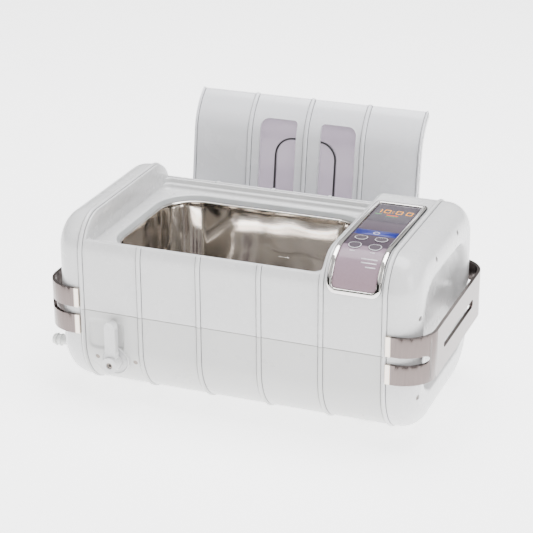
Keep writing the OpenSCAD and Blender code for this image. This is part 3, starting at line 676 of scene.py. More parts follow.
deck_half = edge_y - 3.0
basin = [at_height(rounded(-32, 0, 129, deck_half, 0.5), z) for z in (172.9,)]
basin.append(at_height(rounded(-32, 0, 128.9, deck_half - 0.25, 0.5), 173.5))
basin.append(at_height(rounded(-32, 0, 128.7, deck_half - 0.8, 0.5), 173.66))
basin.append(at_height(basin_outline(-1.0, rear=4.2), 173.66))
basin += [at_height(basin_outline(-1.0 + 0.9 * math.sin(a), rear=4.2), 172.76 + 0.9 * math.cos(a))
          for a in (0.4, 0.8, 1.2, math.pi / 2)]
basin.append(at_height(basin_outline(0.0, rear=4.2), 169.5))
basin.append(at_height(basin_outline(0.1, rear=4.0), 168.9))
basin.append(at_height(basin_outline(0.15, rear=3.0), 168.7))
basin.append(at_height(basin_outline(0.2, rear=0.9), 168.6))
basin.append(at_height(basin_outline(0.25, rear=0.3), 168.2))
basin.append(at_height(basin_outline(0.35, rear=0.1), 167.5))
for a in span(0, math.pi / 2, 7):
    basin.append(at_height(basin_outline(0.4 + 4.0 * (1 - math.cos(a))), 167.0 - 4.0 * math.sin(a)))
deck_ring, lip_ring = basin_outline(4.4), opening(-2.5)
for t in (0.25, 0.5, 0.75):
    basin.append([(lerp(p[0], q[0], t), lerp(p[1], q[1], t), DECK_Z) for p, q in zip(deck_ring, lip_ring)])
basin.append(at_height(lip_ring, DECK_Z))
for a in span(0, math.pi / 2, 5)[1:]:
    basin.append(at_height(opening(-2.0 + 2.0 * math.sin(a)), DECK_Z - 2.0 * (1 - math.cos(a))))
basin.append(at_height(opening(0), DECK_Z - 3))
basin.append(at_height(opening(-3), DECK_Z - 3))
basin.append(at_height(rounded(-32, 0, 129, deck_half, 0.5), DECK_Z - 3))
deck = fix_normals(new_object("basin_deck", *grid(basin, close_rows=True, close_cols=True), M["light"]))
sharpen(deck, 40)
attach(deck, "cleaner")
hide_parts("deck_panel")

# Left wall of the basin: a plate under the section, with a rolled inner edge and a rib along its end
PLATE_KEYS = [("ft", a) for a in span(EDGE_A + 1, 0, 18)] + [("top", t) for t in span(1, -1, 12)[1:-1]]
PLATE_KEYS += [("bt", a) for a in span(90, 90 - EDGE_A - 1, 18)]


def plate_column(key):
    pts = []
    for x, inset in ((-165.0, -1.8), (-164.2, -1.68), (-163.4, -1.2), (-162.9, -0.55), (-162.75, 0.0),
                     (-162.5, 0.35), (-162.2, 0.3), (-161.9, 0.0), (-161.2, -0.15), (-160.6, -0.1),
                     (-160.15, 0.15), (-159.9, 0.6), (-159.8, 1.2)):
        y, z = section_point(key, inset)
        pts.append((x, y, z))
    y, z = section_point(key, 1.2)
    floor_z = 165.8
    pts.append((-159.8, y, min(z, max(floor_z, z - 8))))
    for x, zz in ((-160.5, 166.2), (-160.85, 165.6), (-163.5, 165.0), (-165.0, 165.0)):
        pts.append((x, y, min(z - 0.5, zz)))
    return pts


parts.append(new_object("left_wall", *prism_rows([plate_column(k) for k in PLATE_KEYS]), M["light"]))

# Console block, with a rounded left edge above the ledge
TOP_KEYS = [("front", z) for z in UP_FRONT[::-1]] + [("ft", a) for a in span(90, 0, 40)]
TOP_KEYS += [("top", t) for t in span(1, -1, 16)[1:-1]]
TOP_KEYS += [("bt", a) for a in span(90, 0, 40)] + [("back", z) for z in UP_FRONT]


def console_point(x, key):
    y0, z0 = section_point(key, 0)
    w = step((z0 - EDGE_Z - 0.5) / 9.0)
    edge = 102.5
    r = 5.5
    extra = (r - math.sqrt(max(0.0, r * r - (edge - x) ** 2))) * w if x < edge else 0.0
    bead = ribbed(x)
    if x < 110:
        bead *= 1 - w
    roll = joint_roll(key[1], True) if key[0] in ("front", "back") else 0.0
    y, z = section_point(key, extra + bead + roll)
    return (x, y, z)


cons_x = unique([97.0, 97.05, 97.2, 97.5, 97.9, 98.4, 99.0, 99.8, 100.7, 101.6, 102.5] + rib_stations(97.0, HALF_L))
parts.append(new_object("console_block", *tube(
    cons_x,
    lambda x: [console_point(x, k) for k in TOP_KEYS],
    lambda x: [(x,) + section_point(k, WALL + 3.0) for k in TOP_KEYS]), M["light"]))
inner_wall = []
for key in TOP_KEYS:
    x, y, z = console_point(97.0, key)
    if z > EDGE_Z - 0.4:
        low = 166.9 if abs(y + 2) < 96 else EDGE_Z - 0.6
        inner_wall.append([(97.0, y, z), (96.85, y, min(z - 0.05, max(low + 2, z - 6))), (96.8, y, low), (99.5, y, low),
                           (99.5, y, z - 0.2)])
parts.append(new_object("console_wall", *prism_rows(inner_wall), M["light"]))


def join(objects, name):
    first = objects[0]
    bm = bmesh.new()
    for obj in objects:
        part = bmesh.new()
        part.from_mesh(obj.data)
        bmesh.ops.remove_doubles(part, verts=part.verts, dist=0.00001)
        bmesh.ops.recalc_face_normals(part, faces=part.faces)
        temp = bpy.data.meshes.new("temp")
        part.to_mesh(temp)
        part.free()
        bm.from_mesh(temp)
        bpy.data.meshes.remove(temp)
    bm.to_mesh(first.data)
    bm.free()
    for obj in objects[1:]:
        bpy.data.objects.remove(obj, do_unlink=True)
    first.name = name
    return first


upper = join(parts, "upper_shell")
sharpen(upper, 40)
mark_creases(upper, RIBS, seam=True)
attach(upper, "cleaner")
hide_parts("upper_casing")

# ---- End caps ----

CAP_KEYS = [("ft", a) for a in span(90, 0, 22)] + [("top", t) for t in span(1, -1, 14)[1:-1]]
CAP_KEYS += [("bt", a) for a in span(90, 0, 22)] + [("back", z) for z in (150, 140, 128, 114, 100, 86, 74, 66)]
CAP_KEYS += [("bb", a) for a in span(90, 0, 26)] + [("low", t) for t in span(1, -1, 10)[1:-1]]
CAP_KEYS += [("fb", a) for a in span(90, 0, 26)] + [("front", z) for z in (66, 74, 86, 100, 114, 128, 140, 150)]


def polar_outline(y, z, grow):
    """Point of the hand recess outline in the direction of (y, z) from its centre, grown by grow."""
    cz = 101.0
    a = math.atan2(z - cz, y)
    c, s = math.cos(a), math.sin(a)
    lo, hi = 0.0, 200.0
    for _ in range(30):
        mid = (lo + hi) / 2
        if rect_distance(mid * c, mid * s, 75 + grow, 60 + grow, max(30 + grow, 3)) < 0:
            lo = mid
        else:
            hi = mid
    return (lo * c, cz + lo * s)


def cap_rings(shell):
    """Rings from the joint out to the end face and into the recess, shrunk by shell."""
    rings = []
    if shell == 0:
        for x, inset in ((165, -1.8), (165.8, -1.68), (166.6, -1.2), (167.1, -0.55), (167.25, 0), (167.5, 0.4),
                         (167.9, 0.4), (168.3, 0.0), (170, 0)):
            rings.append([(x,) + section_point(k, inset) for k in CAP_KEYS])
    else:
        rings.append([(165,) + section_point(k, shell) for k in CAP_KEYS])
    r = CAP_R - shell
    for a in span(0, 90, 18):
        a = math.radians(a)
        rings.append([(172 + r * math.sin(a),) + section_point(k, shell + r * (1 - math.cos(a))) for k in CAP_KEYS])
    face = rings[-1]
    for grow, drop in ((5, 0.0), (3.5, 0.15), (2, 0.7), (0.8, 1.6), (-0.4, 3.0), (-1.5, 4.8), (-2.6, 6.6), (-4.0, 8.2),
                       (-6, 9.3), (-9, 9.85), (-13, 10.0), (-28, 10.0), (-45, 10.0), (-57, 10.0)):
        ring = []
        for p in face:
            y, z = polar_outline(p[1], p[2], grow - shell * 0.3)
            if grow > 0:
                y2, z2 = p[1], p[2]
                reach = math.hypot(y2, z2 - 101)
                if math.hypot(y, z - 101) > reach - 0.3 * (5 - grow) - 0.2:
                    k = (reach - 0.3 * (5 - grow) - 0.2) / math.hypot(y, z - 101)
                    y, z = y * k, 101 + (z - 101) * k
            ring.append((END_X - shell - drop, y, z))
        rings.append(ring)
    return rings


cap_holes = []
for cy, cz in ((38, 178.5), (90, 136), (90, 50), (38, 10.5)):
    inset = min(HALF_D - cy, BODY_H - cz, cz, CAP_R)
    seat = END_X - CAP_R + math.sqrt(CAP_R ** 2 - (CAP_R - inset) ** 2)
    for side in (-1, 1):
        cap_holes.append((side * cy, cz, seat))


def make_cap(sign, name, node):
    outer, inner = cap_rings(0), cap_rings(WALL)
    rings = outer[::-1] + inner
    rings = [[(sign * x, y, z) for x, y, z in ring] for ring in rings]
    verts, faces = grid(rings, close_cols=True)
    m, n = len(rings[0]), len(rings)
    faces.append(tuple(range(m)))
    faces.append(tuple(range((n - 1) * m, n * m)))
    cap = fix_normals(new_object(name, verts, faces, M["light"]))
    cutters = []
    for y, z, seat in cap_holes:
        a, b = sign * (seat - 2.5), sign * (seat + 12)
        cutters.append(slot_cutter(oval(y, z, 2.8, 2.8, 6), 0, min(a, b), max(a, b)))
    cut(cap, cutters)
    sharpen(cap, 38)
    mark_creases(cap, RIBS)
    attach(cap, "cleaner")
    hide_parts(node)
    return cap


make_cap(-1, "left_cap_shell", "left_end_cap")
make_cap(1, "right_cap_shell", "right_end_cap")

# ---- Tank and its seal ----

def tank_ring(off, z):
    return at_height(rounded(TANK_X, 0, TANK_L / 2 + off, TANK_W / 2 + off, max(TANK_R + off, 2), 18, 16), z)


rings = [tank_ring(7, 155.9), tank_ring(7, 156.9), tank_ring(6.5, 157.0), tank_ring(1.6, 157.0)]
for a in span(0, math.pi / 2, 5)[1:]:
    rings.append(tank_ring(1.6 - 1.6 * math.sin(a), 155.4 + 1.6 * math.cos(a)))
for z in (150, 140, 130, 120, 110, 100, 92):
    rings.append(tank_ring(-0.008 * (155 - z), z))
for a in span(0, math.pi / 2, 12):
    rings.append(tank_ring(-0.6 - 14 * (1 - math.cos(a)), 89.6 - 14 * math.sin(a)))
for off, z in ((-24, 75.45), (-45, 75.3), (-66, 75.15), (-82, 75.05)):
    rings.append(tank_ring(off, z))
for off, z in ((-82, 73.9), (-40, 73.9), (-16, 73.9), (-6, 76.5), (0.2, 83), (1.1, 92), (1.2, 140), (1.2, 154.5),
               (2.0, 155.8)):
    rings.append(tank_ring(off, z))
verts, faces = grid(rings, close_rows=True, close_cols=True)
m = len(rings[0])
tank = new_object("tank_pressing", verts, faces, M["tank"])
fix_normals(tank)
bm = bmesh.new()
bm.from_mesh(tank.data)
holes = [e for e in bm.edges if len(e.link_faces) == 1]
if holes:
    bmesh.ops.holes_fill(bm, edges=holes, sides=0)
bm.to_mesh(tank.data)
bm.free()
cut(tank, [slot_cutter(oval(-95, -58, 6, 6, 8), 2, 60, 80)])
sharpen(tank, 45)
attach(tank, "cleaner")
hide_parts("tank")


def raised_line(name, x0, x1, z, depth, half, material):
    """Thin bar pressed into the tank's back wall, with rounded ends."""
    y = TANK_W / 2 - 0.008 * (155 - z)
    rows = []
    for grow, out in ((0, -0.3), (0, depth * 0.6), (-0.25 * half, depth), (-0.7 * half, depth)):
        rows.append([(px, y - out, pz) for px, pz in
                     oval((x0 + x1) / 2, z, (x1 - x0) / 2 + grow, half + grow, 4)])
    verts, faces = grid(rows, close_cols=True)
    m = len(rows[0])
    faces.append(tuple(range(3 * m, 4 * m)))
    faces.append(tuple(range(m)))
    obj = fix_normals(new_object(name, verts, faces, material))
    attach(obj, "cleaner")
    return obj


raised_line("level_mark_high", -19, 3, 146.0, 0.5, 0.55, M["tank"])
raised_line("level_mark_low", -19, -5, 104.0, 0.5, 0.5, M["tank"])

seal_profile = [(4.45, 160.0), (4.45, 161.6), (4.1, 162.1), (3.5, 162.1), (2.6, 160.6), (1.5, 158.3), (1.2, 157.7),
                (1.25, 157.15), (2.5, 157.08), (6.4, 157.08), (6.4, 159.9)]
rings = [tank_ring(off, z) for off, z in seal_profile]
seal = fix_normals(new_object("tank_seal", *grid(rings, close_rows=True, close_cols=True), M["gasket"]))
sharpen(seal, 50)
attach(seal, "cleaner")
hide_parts("tank_gasket")

# ---- Console: everything is laid out flat as (x, s) and wrapped over the casing's section ----
# s runs from the back of the console (0) forward over the bend and down the front; h is the height above the casing

S_BEND = 52.0 + HALF_D - TOP_R


def wrap(x, s, h):
    if s <= S_BEND:
        return (x, DECK_Y0 - s, BODY_H + h)
    a = (s - S_BEND) / TOP_R
    r = TOP_R + h
    if a <= math.pi / 2:
        return (x, -(HALF_D - TOP_R) - r * math.sin(a), BODY_H - TOP_R + r * math.cos(a))
    return (x, -HALF_D - h, BODY_H - TOP_R - (a - math.pi / 2) * TOP_R)


S_START = DECK_Y0 - FRAME_Y1
S_END = S_BEND + TOP_R * math.acos((FRAME_LOW - BODY_H + TOP_R) / TOP_R)


def frame_ring(off, h, r_back=5.0, r_front=10.0, n_corner=8, n_long=64, n_short=10):
    """Outline of the console, pulled in by off, wrapped at height h."""
    x0, x1, s0, s1 = FRAME_X0 + off, FRAME_X1 - off, S_START + off, S_END - off
    rb, rf = max(r_back - off, 0.6), max(r_front - off, 0.8)
    corners = ((x1 - rf, s1 - rf, rf, 0), (x0 + rf, s1 - rf, rf, 90),
               (x0 + rb, s0 + rb, rb, 180), (x1 - rb, s0 + rb, rb, 270))
    counts = (n_short, n_long, n_short, n_long)
    pts = []
    for i, (cx, cs, r, a0) in enumerate(corners):
        for k in range(n_corner + 1):
            a = math.radians(a0 + 90 * k / n_corner)
            pts.append((cx + r * math.cos(a), cs + r * math.sin(a)))
        nx, ns, nr, na = corners[(i + 1) % 4]
        end = (nx + nr * math.cos(math.radians(na)), ns + nr * math.sin(math.radians(na)))
        start = pts[-1]
        for k in range(1, counts[i]):
            t = k / counts[i]
            pts.append((lerp(start[0], end[0], t), lerp(start[1], end[1], t)))
    return [wrap(x, s, h) for x, s in pts]


frame_profile = [(0.0, -0.6), (0.0, 1.75), (0.1, 2.1), (0.4, 2.45), (1.0, 2.7), (1.8, 2.78), (3.4, 2.74), (4.4, 2.6),
                 (5.0, 2.3), (5.35, 1.7), (5.5, 0.6), (5.5, -0.6)]
trim_rings = [frame_ring(o, h) for o, h in frame_profile]
verts, faces = grid(trim_rings, close_rows=True, close_cols=True)
# The frame's outer and inner side walls and its underside take the black slot: painted shade for the shadow gap and the
# dark reflection along its flanks.
trim = new_object("console_trim", verts, faces, [M["chrome"], M["black"]],
                  slots=[1 if i // len(trim_rings[0]) in (0, 1, 10, 11) else 0 for i in range(len(faces))])
fix_normals(trim)
sharpen(trim, 60)
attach(trim, "cleaner")
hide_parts("console_frame")


def face_material():
    """Smoked overlay: dark mauve at the display, paling to a warm reflection on the bend."""
    mat, nodes, links, shader = node_material("smoked_face")
    tex = nodes.new("ShaderNodeTexCoord")
    sep = nodes.new("ShaderNodeSeparateXYZ")
    links.new(tex.outputs["Object"], sep.inputs[0])
    t = nodes.new("ShaderNodeMapRange")
    t.inputs["From Min"].default_value = 0.048
    t.inputs["From Max"].default_value = -0.108
    links.new(sep.outputs[1], t.inputs["Value"])
    tone = ramp(nodes, links, t.outputs[0], [(0.0, (0.040, 0.030, 0.042)), (0.34, (0.044, 0.033, 0.047)),
                                             (0.37, (0.075, 0.056, 0.074)), (0.775, (0.055, 0.040, 0.055)),
                                             (0.79, (0.24, 0.175, 0.225)), (1.0, (0.26, 0.185, 0.215))])
    vec = coords(nodes, links)
    mott = ramp(nodes, links, noise(nodes, links, vec, 500.0, 2.0), [(0.3, grey(0.93)), (0.7, grey(1.0))])
    mix = nodes.new("ShaderNodeMix")
    mix.data_type = "RGBA"
    mix.blend_type = "MULTIPLY"
    mix.inputs[0].default_value = 1.0
    links.new(tone, mix.inputs[6])
    links.new(mott, mix.inputs[7])
    links.new(mix.outputs[2], shader.inputs["Base Color"])
    r = ramp(nodes, links, noise(nodes, links, vec, 50.0, 4.0), [(0.3, grey(0.16)), (0.8, grey(0.24))])
    links.new(r, shader.inputs["Roughness"])
    bump(nodes, links, shader, noise(nodes, links, vec, 40.0, 1.0), 0.04, 0.001)
    put(shader, spec=0.16, coat=0.10, coat_rough=0.05)
    return mat


M["face"] = face_material()
FACE_TOP = 1.22
face_rings = [frame_ring(o, h) for o, h in ((5.42, -1.5), (5.42, 0.75), (5.6, 1.05), (6.0, 1.2), (7.2, FACE_TOP))]
for off in (9, 12, 15, 18, 21, 24, 26.5):
    face_rings.append(frame_ring(off, FACE_TOP))
verts, faces = grid(face_rings, close_cols=True)
m, n = len(face_rings[0]), len(face_rings)
last = (n - 1) * m
faces.append(tuple(range(last, last + m)))
face_obj = fix_normals(new_object("console_overlay", verts, faces, M["face"]))
bm = bmesh.new()
bm.from_mesh(face_obj.data)
bmesh.ops.triangulate(bm, faces=[f for f in bm.faces if len(f.verts) > 4])
bm.to_mesh(face_obj.data)
bm.free()
sharpen(face_obj, 50)
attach(face_obj, "cleaner")
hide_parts("console_face")


def glow_material(name, color, glow, rough=0.35):
    mat, nodes, links, shader = node_material(name)
    vec = coords(nodes, links)
    tone = ramp(nodes, links, noise(nodes, links, vec, 300.0, 2.0),
                [(0.3, tuple(c * 0.75 for c in color)), (0.7, color)])
    links.new(tone, shader.inputs["Base Color"])
    links.new(tone, shader.inputs["Emission Color"])
    r = ramp(nodes, links, noise(nodes, links, vec, 90.0, 2.0), [(0.3, grey(rough)), (0.7, grey(rough + 0.1))])
    links.new(r, shader.inputs["Roughness"])
    put(shader, glow=glow)
    return mat


M["amber"] = glow_material("amber_digits", (0.90, 0.34, 0.004), 1.3)
M["green"] = glow_material("green_lamp", (0.08, 0.36, 0.10), 0.3)
M["orange"] = glow_material("orange_lamp", (0.90, 0.10, 0.01), 0.9)
# The blue band glows faintly: painted light.
M["blue"] = glow_material("blue_band_painted_glow", (0.002, 0.010, 0.20), 0.10)
# The pale ink glows faintly: painted light that keeps the thin printed marks and key outlines bright.
M["pale"] = glow_material("pale_ink_painted_glow", (0.66, 0.64, 0.68), 0.25)
M["key"] = plastic("smoked_key", (0.060, 0.045, 0.060), 0.2, 0.03, 0.02, 0.1)


def inlay(name, outlines, h0, h1, material):
    """Thin printed or inlaid shapes on the face: closed outlines in (x, s), from h0 to h1."""
    verts, faces = [], []
    for pts in outlines:
        cx = sum(p[0] for p in pts) / len(pts)
        cs = sum(p[1] for p in pts) / len(pts)
        base, n = len(verts), len(pts)
        verts += [wrap(x, s, h0) for x, s in pts]
        verts += [wrap(x, s, h1) for x, s in pts]
        verts.append(wrap(cx, cs, h1))
        for i in range(n):
            j = (i + 1) % n
            faces.append((base + i, base + j, base + n + j, base + n + i))
            faces.append((base + n + i, base + n + j, base + 2 * n))
    obj = fix_normals(new_object(name, verts, faces, material), 0.000001)
    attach(obj, "cleaner")
    return obj


def bar(x0, x1, s0, s1):
    """Six-sided segment of a digit, along its longer side."""
    if x1 - x0 > s1 - s0:
        t = (s1 - s0) / 2
        return [(x0, (s0 + s1) / 2), (x0 + t, s0), (x1 - t, s0), (x1, (s0 + s1) / 2), (x1 - t, s1), (x0 + t, s1)]
    t = (x1 - x0) / 2
    return [((x0 + x1) / 2, s0), (x1, s0 + t), (x1, s1 - t), ((x0 + x1) / 2, s1), (x0, s1 - t), (x0, s0 + t)]


SEGMENTS = {"0": "abcdef", "1": "bc", "2": "abged", "3": "abgcd", "4": "fgbc", "5": "afgcd"}


def digit(char, x, s, w, hgt, t=1.05, gap=0.25):
    half = hgt / 2
    place = {"a": (x + gap, x + w - gap, s, s + t), "g": (x + gap, x + w - gap, s + half - t / 2, s + half + t / 2),
             "d": (x + gap, x + w - gap, s + hgt - t, s + hgt),
             "f": (x, x + t, s + gap, s + half - gap / 2), "b": (x + w - t, x + w, s + gap, s + half - gap / 2),
             "e": (x, x + t, s + half + gap / 2, s + hgt - gap),
             "c": (x + w - t, x + w, s + half + gap / 2, s + hgt - gap)}
    return [bar(*place[seg]) for seg in SEGMENTS[char]]


shapes = []
for char, x in (("1", 112.0), ("0", 121.6), ("0", 134.4), ("0", 145.2)):
    shapes += digit(char, x, 24.1, 6.8, 9.2)
inlay("display_digits", shapes, 1.1, 1.34, M["amber"])


def dot(x, s, r, n=10):
    return [(x + r * math.cos(2 * math.pi * k / n), s + r * math.sin(2 * math.pi * k / n)) for k in range(n)]


inlay("display_colon", [dot(131.2, 26.9, 0.62), dot(131.2, 30.9, 0.62)], 1.1, 1.34, M["amber"])
inlay("green_lamps", [oval(117.5, 37.4, 3.6, 0.6, 3), oval(133.0, 41.6, 6.4, 0.45, 3)], 1.1, 1.32, M["green"])
inlay("orange_lamp", [oval(133.0, 38.6, 6.2, 0.7, 3)], 1.1, 1.32, M["orange"])
band = [(111.2, 83.6)] + [(v, 83.6) for v in span(115, 151, 6)] + [(154.8, 83.6), (154.8, 97.0)]
band += [(v, 97.0) for v in span(151, 115, 6)] + [(111.2, 97.0)]
inlay("blue_band_painted_glow", [band], 1.1, 1.30, M["blue"])

# Printed marks with no lettering: three bars on the bend, a tick under each lower key, a ring on the band
marks = [[(x, s0) for x in span(x0, x1, 6)] + [(x, s0 + 1.1) for x in span(x1, x0, 6)]
         for x0, x1, s0 in ((134.5, 151.5, 143.5), (135.5, 151.5, 147.8), (141.0, 151.5, 152.2))]
marks += [[(x, 135.2) for x in span(kx - 2.6, kx + 2.6, 4)] + [(x, 136.0) for x in span(kx + 2.6, kx - 2.6, 4)]
          for kx in KEY_X]
for i in range(16):
    a, b = 2 * math.pi * i / 16, 2 * math.pi * (i + 1) / 16
    marks.append([(133 + r * math.cos(t), 90.3 + r * math.sin(t)) for r, t in ((3.4, a), (3.4, b), (2.5, b), (2.5, a))])
inlay("printed_marks", marks, 1.15, 1.36, M["pale"])

# Push keys: domed oval caps with a pale printed outline
KEYS = {"on_off_key": (KEY_X[0], KEY_Y[0]), "heat_key": (KEY_X[1], KEY_Y[0]),
        "time_up_key": (KEY_X[0], KEY_Y[1]), "time_down_key": (KEY_X[1], KEY_Y[1])}
for node, (kx, ky) in KEYS.items():
    ks = DECK_Y0 - ky
    rings, marks = [], []
    for off, h in ((0.0, 0.95), (0.0, 1.7), (0.12, 1.87), (0.35, 1.95), (0.42, 1.97), (1.02, 2.03), (1.1, 2.01),
                   (1.8, 2.05), (2.7, 2.08), (3.3, 2.1)):
        rings.append([wrap(x, s, h) for x, s in oval(kx, ks, 7.0 - off, 6.2 - off, 10)])
    verts, faces = grid(rings, close_cols=True)
    m = len(rings[0])
    kinds = [1 if i // m == 4 else 0 for i in range(len(faces))]
    faces.append(tuple(range((len(rings) - 1) * m, len(rings) * m)))
    faces.append(tuple(range(m)))
    kinds += [0, 0]
    key = new_object(node + "_cap", verts, faces, [M["key"], M["pale"]], slots=kinds)
    fix_normals(key)
    sharpen(key, 50)
    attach(key, node)
    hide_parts(node)

# ---- Lid, parked upright ----

def lid_point(x, t, h):
    """World point of lid coordinates: t along the outer face from its middle, h behind the outer face."""
    if abs(t) <= LID_FLAT:
        s, d = t, h
    else:
        a = (abs(t) - LID_FLAT) / LIP_R
        s = math.copysign(LID_FLAT + (LIP_R - h) * math.sin(a), t)
        d = LIP_R - (LIP_R - h) * math.cos(a)
    return (LID_X + x, LID_Y + d * math.cos(LEAN) + s * math.sin(LEAN), LID_Z - d * math.sin(LEAN) + s * math.cos(LEAN))


T_END = LID_FLAT + LIP_R * LIP_ANG
LID_RIBS = (-132.0, -66.0, 0.0, 66.0, 132.0)


def lid_bead(x):
    best = 0.0
    for c in LID_RIBS:
        v = bead_inset(x, c)
        if abs(v) > abs(best):
            best = v
    return best


lid_x = [-LID_HALF, LID_HALF] + span(-LID_HALF, LID_HALF, 30)
for c in LID_RIBS:
    for u in (0, 0.5, 1.0, 1.45, 1.8, 2.05, 2.2, 2.3, 2.5, 2.7, 2.9, 3.1, 3.6, 5.0):
        lid_x += [c - u, c + u]
lid_x = unique([x for x in lid_x if -LID_HALF <= x <= LID_HALF])
lid_t = unique(span(-T_END, -LID_FLAT, 24) + span(-LID_FLAT, LID_FLAT, 14) + span(LID_FLAT, T_END, 24)
               + [T_END - 0.4, -T_END + 0.4, T_END - 0.9, -T_END + 0.9])


def lid_outer(x):
    row = []
    for t in lid_t:
        near = T_END - abs(t)
        row.append(lid_point(x, t, lid_bead(x) + (0.9 - near) ** 2 * 0.9 if near < 0.9 else lid_bead(x)))
    return row


lid_rows = tube(lid_x, lid_outer, lambda x: [lid_point(x, t, LID_T) for t in lid_t])
lid = fix_normals(new_object("lid_sheet", *lid_rows, M["lid"]))
for x0, x1 in ((-54, -11), (17, 58)):
    outer_left = x0 < 0
    pts = []
    low, top = -60.0, 85.0
    for cx, cz, r, a0 in ((x1, top, 4.0 if outer_left else 10.0, 0), (x0, top, 10.0 if outer_left else 4.0, 90),
                          (x0, low, 5, 180), (x1, low, 5, 270)):
        ox = cx - r if cx == x1 else cx + r
        oz = cz - r if cz == top else cz + r
        for k in range(9):
            a = math.radians(a0 + 90 * k / 8)
            pts.append((ox + r * math.cos(a), oz + r * math.sin(a)))
    verts = []
    for d in (-12.0, 22.0):
        for px, ps in pts:
            verts.append((LID_X + px, LID_Y + d * math.cos(LEAN) + ps * math.sin(LEAN),
                          LID_Z - d * math.sin(LEAN) + ps * math.cos(LEAN)))
    k = len(pts)
    fc = [tuple(range(k)), tuple(range(2 * k - 1, k - 1, -1))]
    fc += [(i, (i + 1) % k, k + (i + 1) % k, k + i) for i in range(k)]
    cut(lid, [fix_normals(new_object("cutter", verts, fc, M["lid"]))])
sharpen(lid, 35)
mark_creases(lid, [c + LID_X for c in LID_RIBS])
bev = lid.modifiers.new("bevel", "BEVEL")
bev.width = 0.55 * MM
bev.segments = 2
bev.limit_method = "ANGLE"
bev.angle_limit = math.radians(50)
flanges = []
for side in (-1, 1):
    rows = []
    for t in lid_t:
        xo, xi = side * LID_HALF, side * (LID_HALF - 2.4)
        rows.append([lid_point(xo, t, 0.6), lid_point(xo, t, 8.2), lid_point(xo - side * 0.5, t, 8.8),
                     lid_point(xi + side * 0.4, t, 8.8), lid_point(xi, t, 8.3), lid_point(xi, t, 0.6)])
    flanges.append(new_object("flange", *prism_rows(rows), M["lid"]))
flange = join(flanges, "lid_side_flanges")
sharpen(flange, 40)
for obj in (lid, flange):
    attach(obj, "lid")
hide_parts("lid_shell")


def window_material():
    """Smoked acrylic: tinted, glossy, slightly uneven."""
    mat, nodes, links, shader = node_material("smoked_window")
    vec = coords(nodes, links)
    tone = ramp(nodes, links, noise(nodes, links, vec, 12.0, 3.0),
                [(0.3, (0.322, 0.273, 0.335)), (0.7, (0.372, 0.322, 0.384))])
    links.new(tone, shader.inputs["Base Color"])
    r = ramp(nodes, links, noise(nodes, links, vec, 60.0, 4.0), [(0.3, grey(0.05)), (0.8, grey(0.12))])
    links.new(r, shader.inputs["Roughness"])
    bump(nodes, links, shader, noise(nodes, links, vec, 18.0, 1.0), 0.03, 0.002)
    put(shader, ior=1.45, spec=0.5, trans=0.55)
    return mat


M["window"] = window_material()
win_t = unique(span(-65, LID_FLAT, 10) + span(LID_FLAT, 89.5, 12))
win_x = unique(span(-59, 63, 24))
win = fix_normals(new_object("lid_pane", *tube(
    win_x, lambda x: [lid_point(x, t, LID_T + 0.05) for t in win_t],
    lambda x: [lid_point(x, t, LID_T + 2.0) for t in win_t]), M["window"]))
sharpen(win, 40)
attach(win, "lid")
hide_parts("lid_window")

# Black arch-shaped bead that grips the pane and stands a little proud of it
path = [(-35.0, s, 1.0, 0.0) for s in span(-60, 45, 10)]
path += [(-15 - 20 * math.cos(a), 45 + 20 * math.sin(a), math.cos(a), -math.sin(a))
         for a in span(0, math.pi / 2, 12)[1:]]
path += [(x, 65.0, 0.0, -1.0) for x in span(-15, 15, 4)[1:]]
path += [(15 + 20 * math.sin(a), 45 + 20 * math.cos(a), -math.sin(a), -math.cos(a))
         for a in span(0, math.pi / 2, 12)[1:]]
path += [(35.0, s, -1.0, 0.0) for s in span(45, -60, 10)[1:]]
bead_rows = [[lid_point(x + nx * u, s + ns * u, h) for u, h in
              ((-1.0, 6.3), (-1.0, 2.5), (-0.7, 2.2), (0.7, 2.2), (1.0, 2.5), (1.0, 6.3))] for x, s, nx, ns in path]
arch = fix_normals(new_object("window_arch_bead", *prism_rows(bead_rows), M["rubber"]))
sharpen(arch, 50)
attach(arch, "lid")
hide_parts("lid_bead")

# Window rims: a thin lighter edge that stands round each opening
rims = []
for x0, x1 in ((-54, -11), (17, 58)):
    outer_left = x0 < 0
    pts = []
    low, top = -60.0, 85.0
    for cx, cz, r, a0 in ((x1, top, 4.0 if outer_left else 10.0, 0), (x0, top, 10.0 if outer_left else 4.0, 90),
                          (x0, low, 5, 180), (x1, low, 5, 270)):
        ox = cx - r if cx == x1 else cx + r
        oz = cz - r if cz == top else cz + r
        for k in range(9):
            a = math.radians(a0 + 90 * k / 8)
            pts.append((ox + r * math.cos(a), oz + r * math.sin(a), math.cos(a), math.sin(a)))
    dense = []
    for i, p in enumerate(pts):
        q = pts[(i + 1) % len(pts)]
        length = math.hypot(q[0] - p[0], q[1] - p[1])
        steps = max(1, int(length / 6))
        for k in range(steps):
            dense.append(tuple(lerp(p[j], q[j], k / steps) for j in range(4)))
    rows = []
    for off, h in ((0.0, 0.5), (0.0, -0.25), (-0.35, -0.45), (-0.8, -0.35), (-1.0, 0.2), (-1.0, 0.5)):
        row = []
        for x, s, nx, ns in dense:
            px, ps = x - nx * off, s - ns * off
            a = math.asin(min(0.999, max(0.0, (abs(ps) - LID_FLAT)) / LIP_R)) if abs(ps) > LID_FLAT else 0.0
            t = math.copysign(LID_FLAT + a * LIP_R, ps) if a > 0 else ps
            row.append(lid_point(px, t, h))
        rows.append(row)
    rims.append(new_object("rim", *grid(rows, close_rows=True, close_cols=True), M["lid"]))
rim = join(rims, "lid_window_rims")
sharpen(rim, 60)
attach(rim, "lid")

# ---- Drain lever: fine teeth down its right edge and the socket in its screw ----

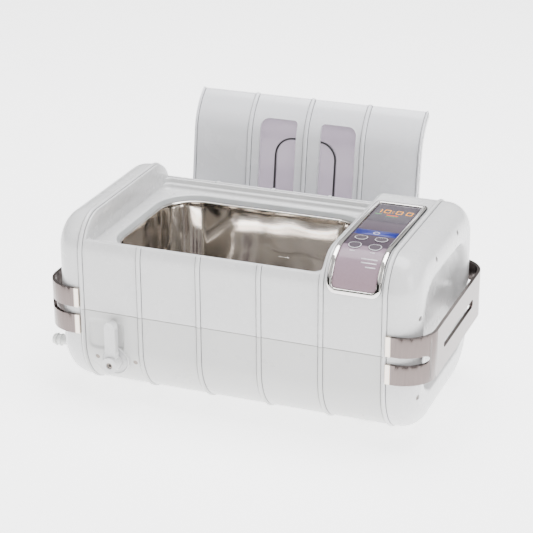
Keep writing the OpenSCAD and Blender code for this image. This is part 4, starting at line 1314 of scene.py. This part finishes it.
teeth_rows = []
for i, z in enumerate(span(58.0, 84.0, 40)):
    out = PIVOT_X + 5.75 + (0.75 if i % 2 else 0.0)
    teeth_rows.append([(-123.6, -120.6, z), (out, -120.2, z), (out, -114.4, z), (-123.6, -114.0, z)])
teeth = fix_normals(new_object("lever_teeth", *prism_rows(teeth_rows), M["light"]))
sharpen(teeth, 25)
# The screw's hex socket is a flat black hexagon on the screw: painted shade for its recess.
SOCKET_R = 1.75
hexagon = [(PIVOT_X + SOCKET_R * math.cos(math.radians(60 * k)), PIVOT_Z + SOCKET_R * math.sin(math.radians(60 * k)))
           for k in range(6)]
socket_rows = [[(x, y, z) for x, z in hexagon] for y in (-122.3, -122.96)]
socket = fix_normals(new_object("screw_socket_shade", *prism_rows(socket_rows), M["rubber"]))
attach(teeth, "drain_lever")
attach(socket, "drain_lever")

# ---- Carried-over CAD nodes: rounded edges and their own materials ----

KEEP = {
    "lid_window_clips": ("white", 0.4), "lid_holders": ("light", 0.8),
    "lid_holder_screws": ("zinc", 0.3), "end_cap_screws": ("screw", 0.3), "heater_pad": ("heater", 0.5),
    "temperature_sensor": ("zinc", 0.3), "left_transducer": ("alu", 0.5), "right_transducer": ("alu", 0.5),
    "display_module": ("black", 0.3), "control_board": ("board", 0.2), "driver_board": ("board", 0.2),
    "board_parts": ("parts", 0.3), "fan_frame": ("black", 0.4), "fan_rotor": ("black", 0.3),
    "fan_screws": ("zinc", 0.3), "left_handle": ("nickel", 0.45), "right_handle": ("nickel", 0.45),
    "handle_studs": ("zinc", 0.2), "handle_nuts": ("zinc", 0.3), "valve_body": ("white", 0.5),
    "valve_ball": ("chrome", 0.2), "valve_stem": ("zinc", 0.2), "drain_lever": ("light", 1.3),
    "lever_screw": ("screw", 0.3), "drain_dial": ("light", 0.7), "valve_screws": ("screw", 0.3),
    "drain_pipe": ("white", 0.4), "outlet_pipe": ("white", 0.4), "hose_nozzle": ("white", 0.5),
    "mains_inlet": ("black", 0.5), "inlet_pins": ("zinc", 0.3), "inlet_screws": ("zinc", 0.3),
    "feet": ("rubber", 0.6), "foot_screws": ("zinc", 0.3),
}
for name, (material, width) in KEEP.items():
    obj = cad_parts[name]
    if not obj.material_slots:
        obj.data.materials.append(M[material])
    for slot in obj.material_slots:
        slot.material = M[material]
    soften(obj, width)
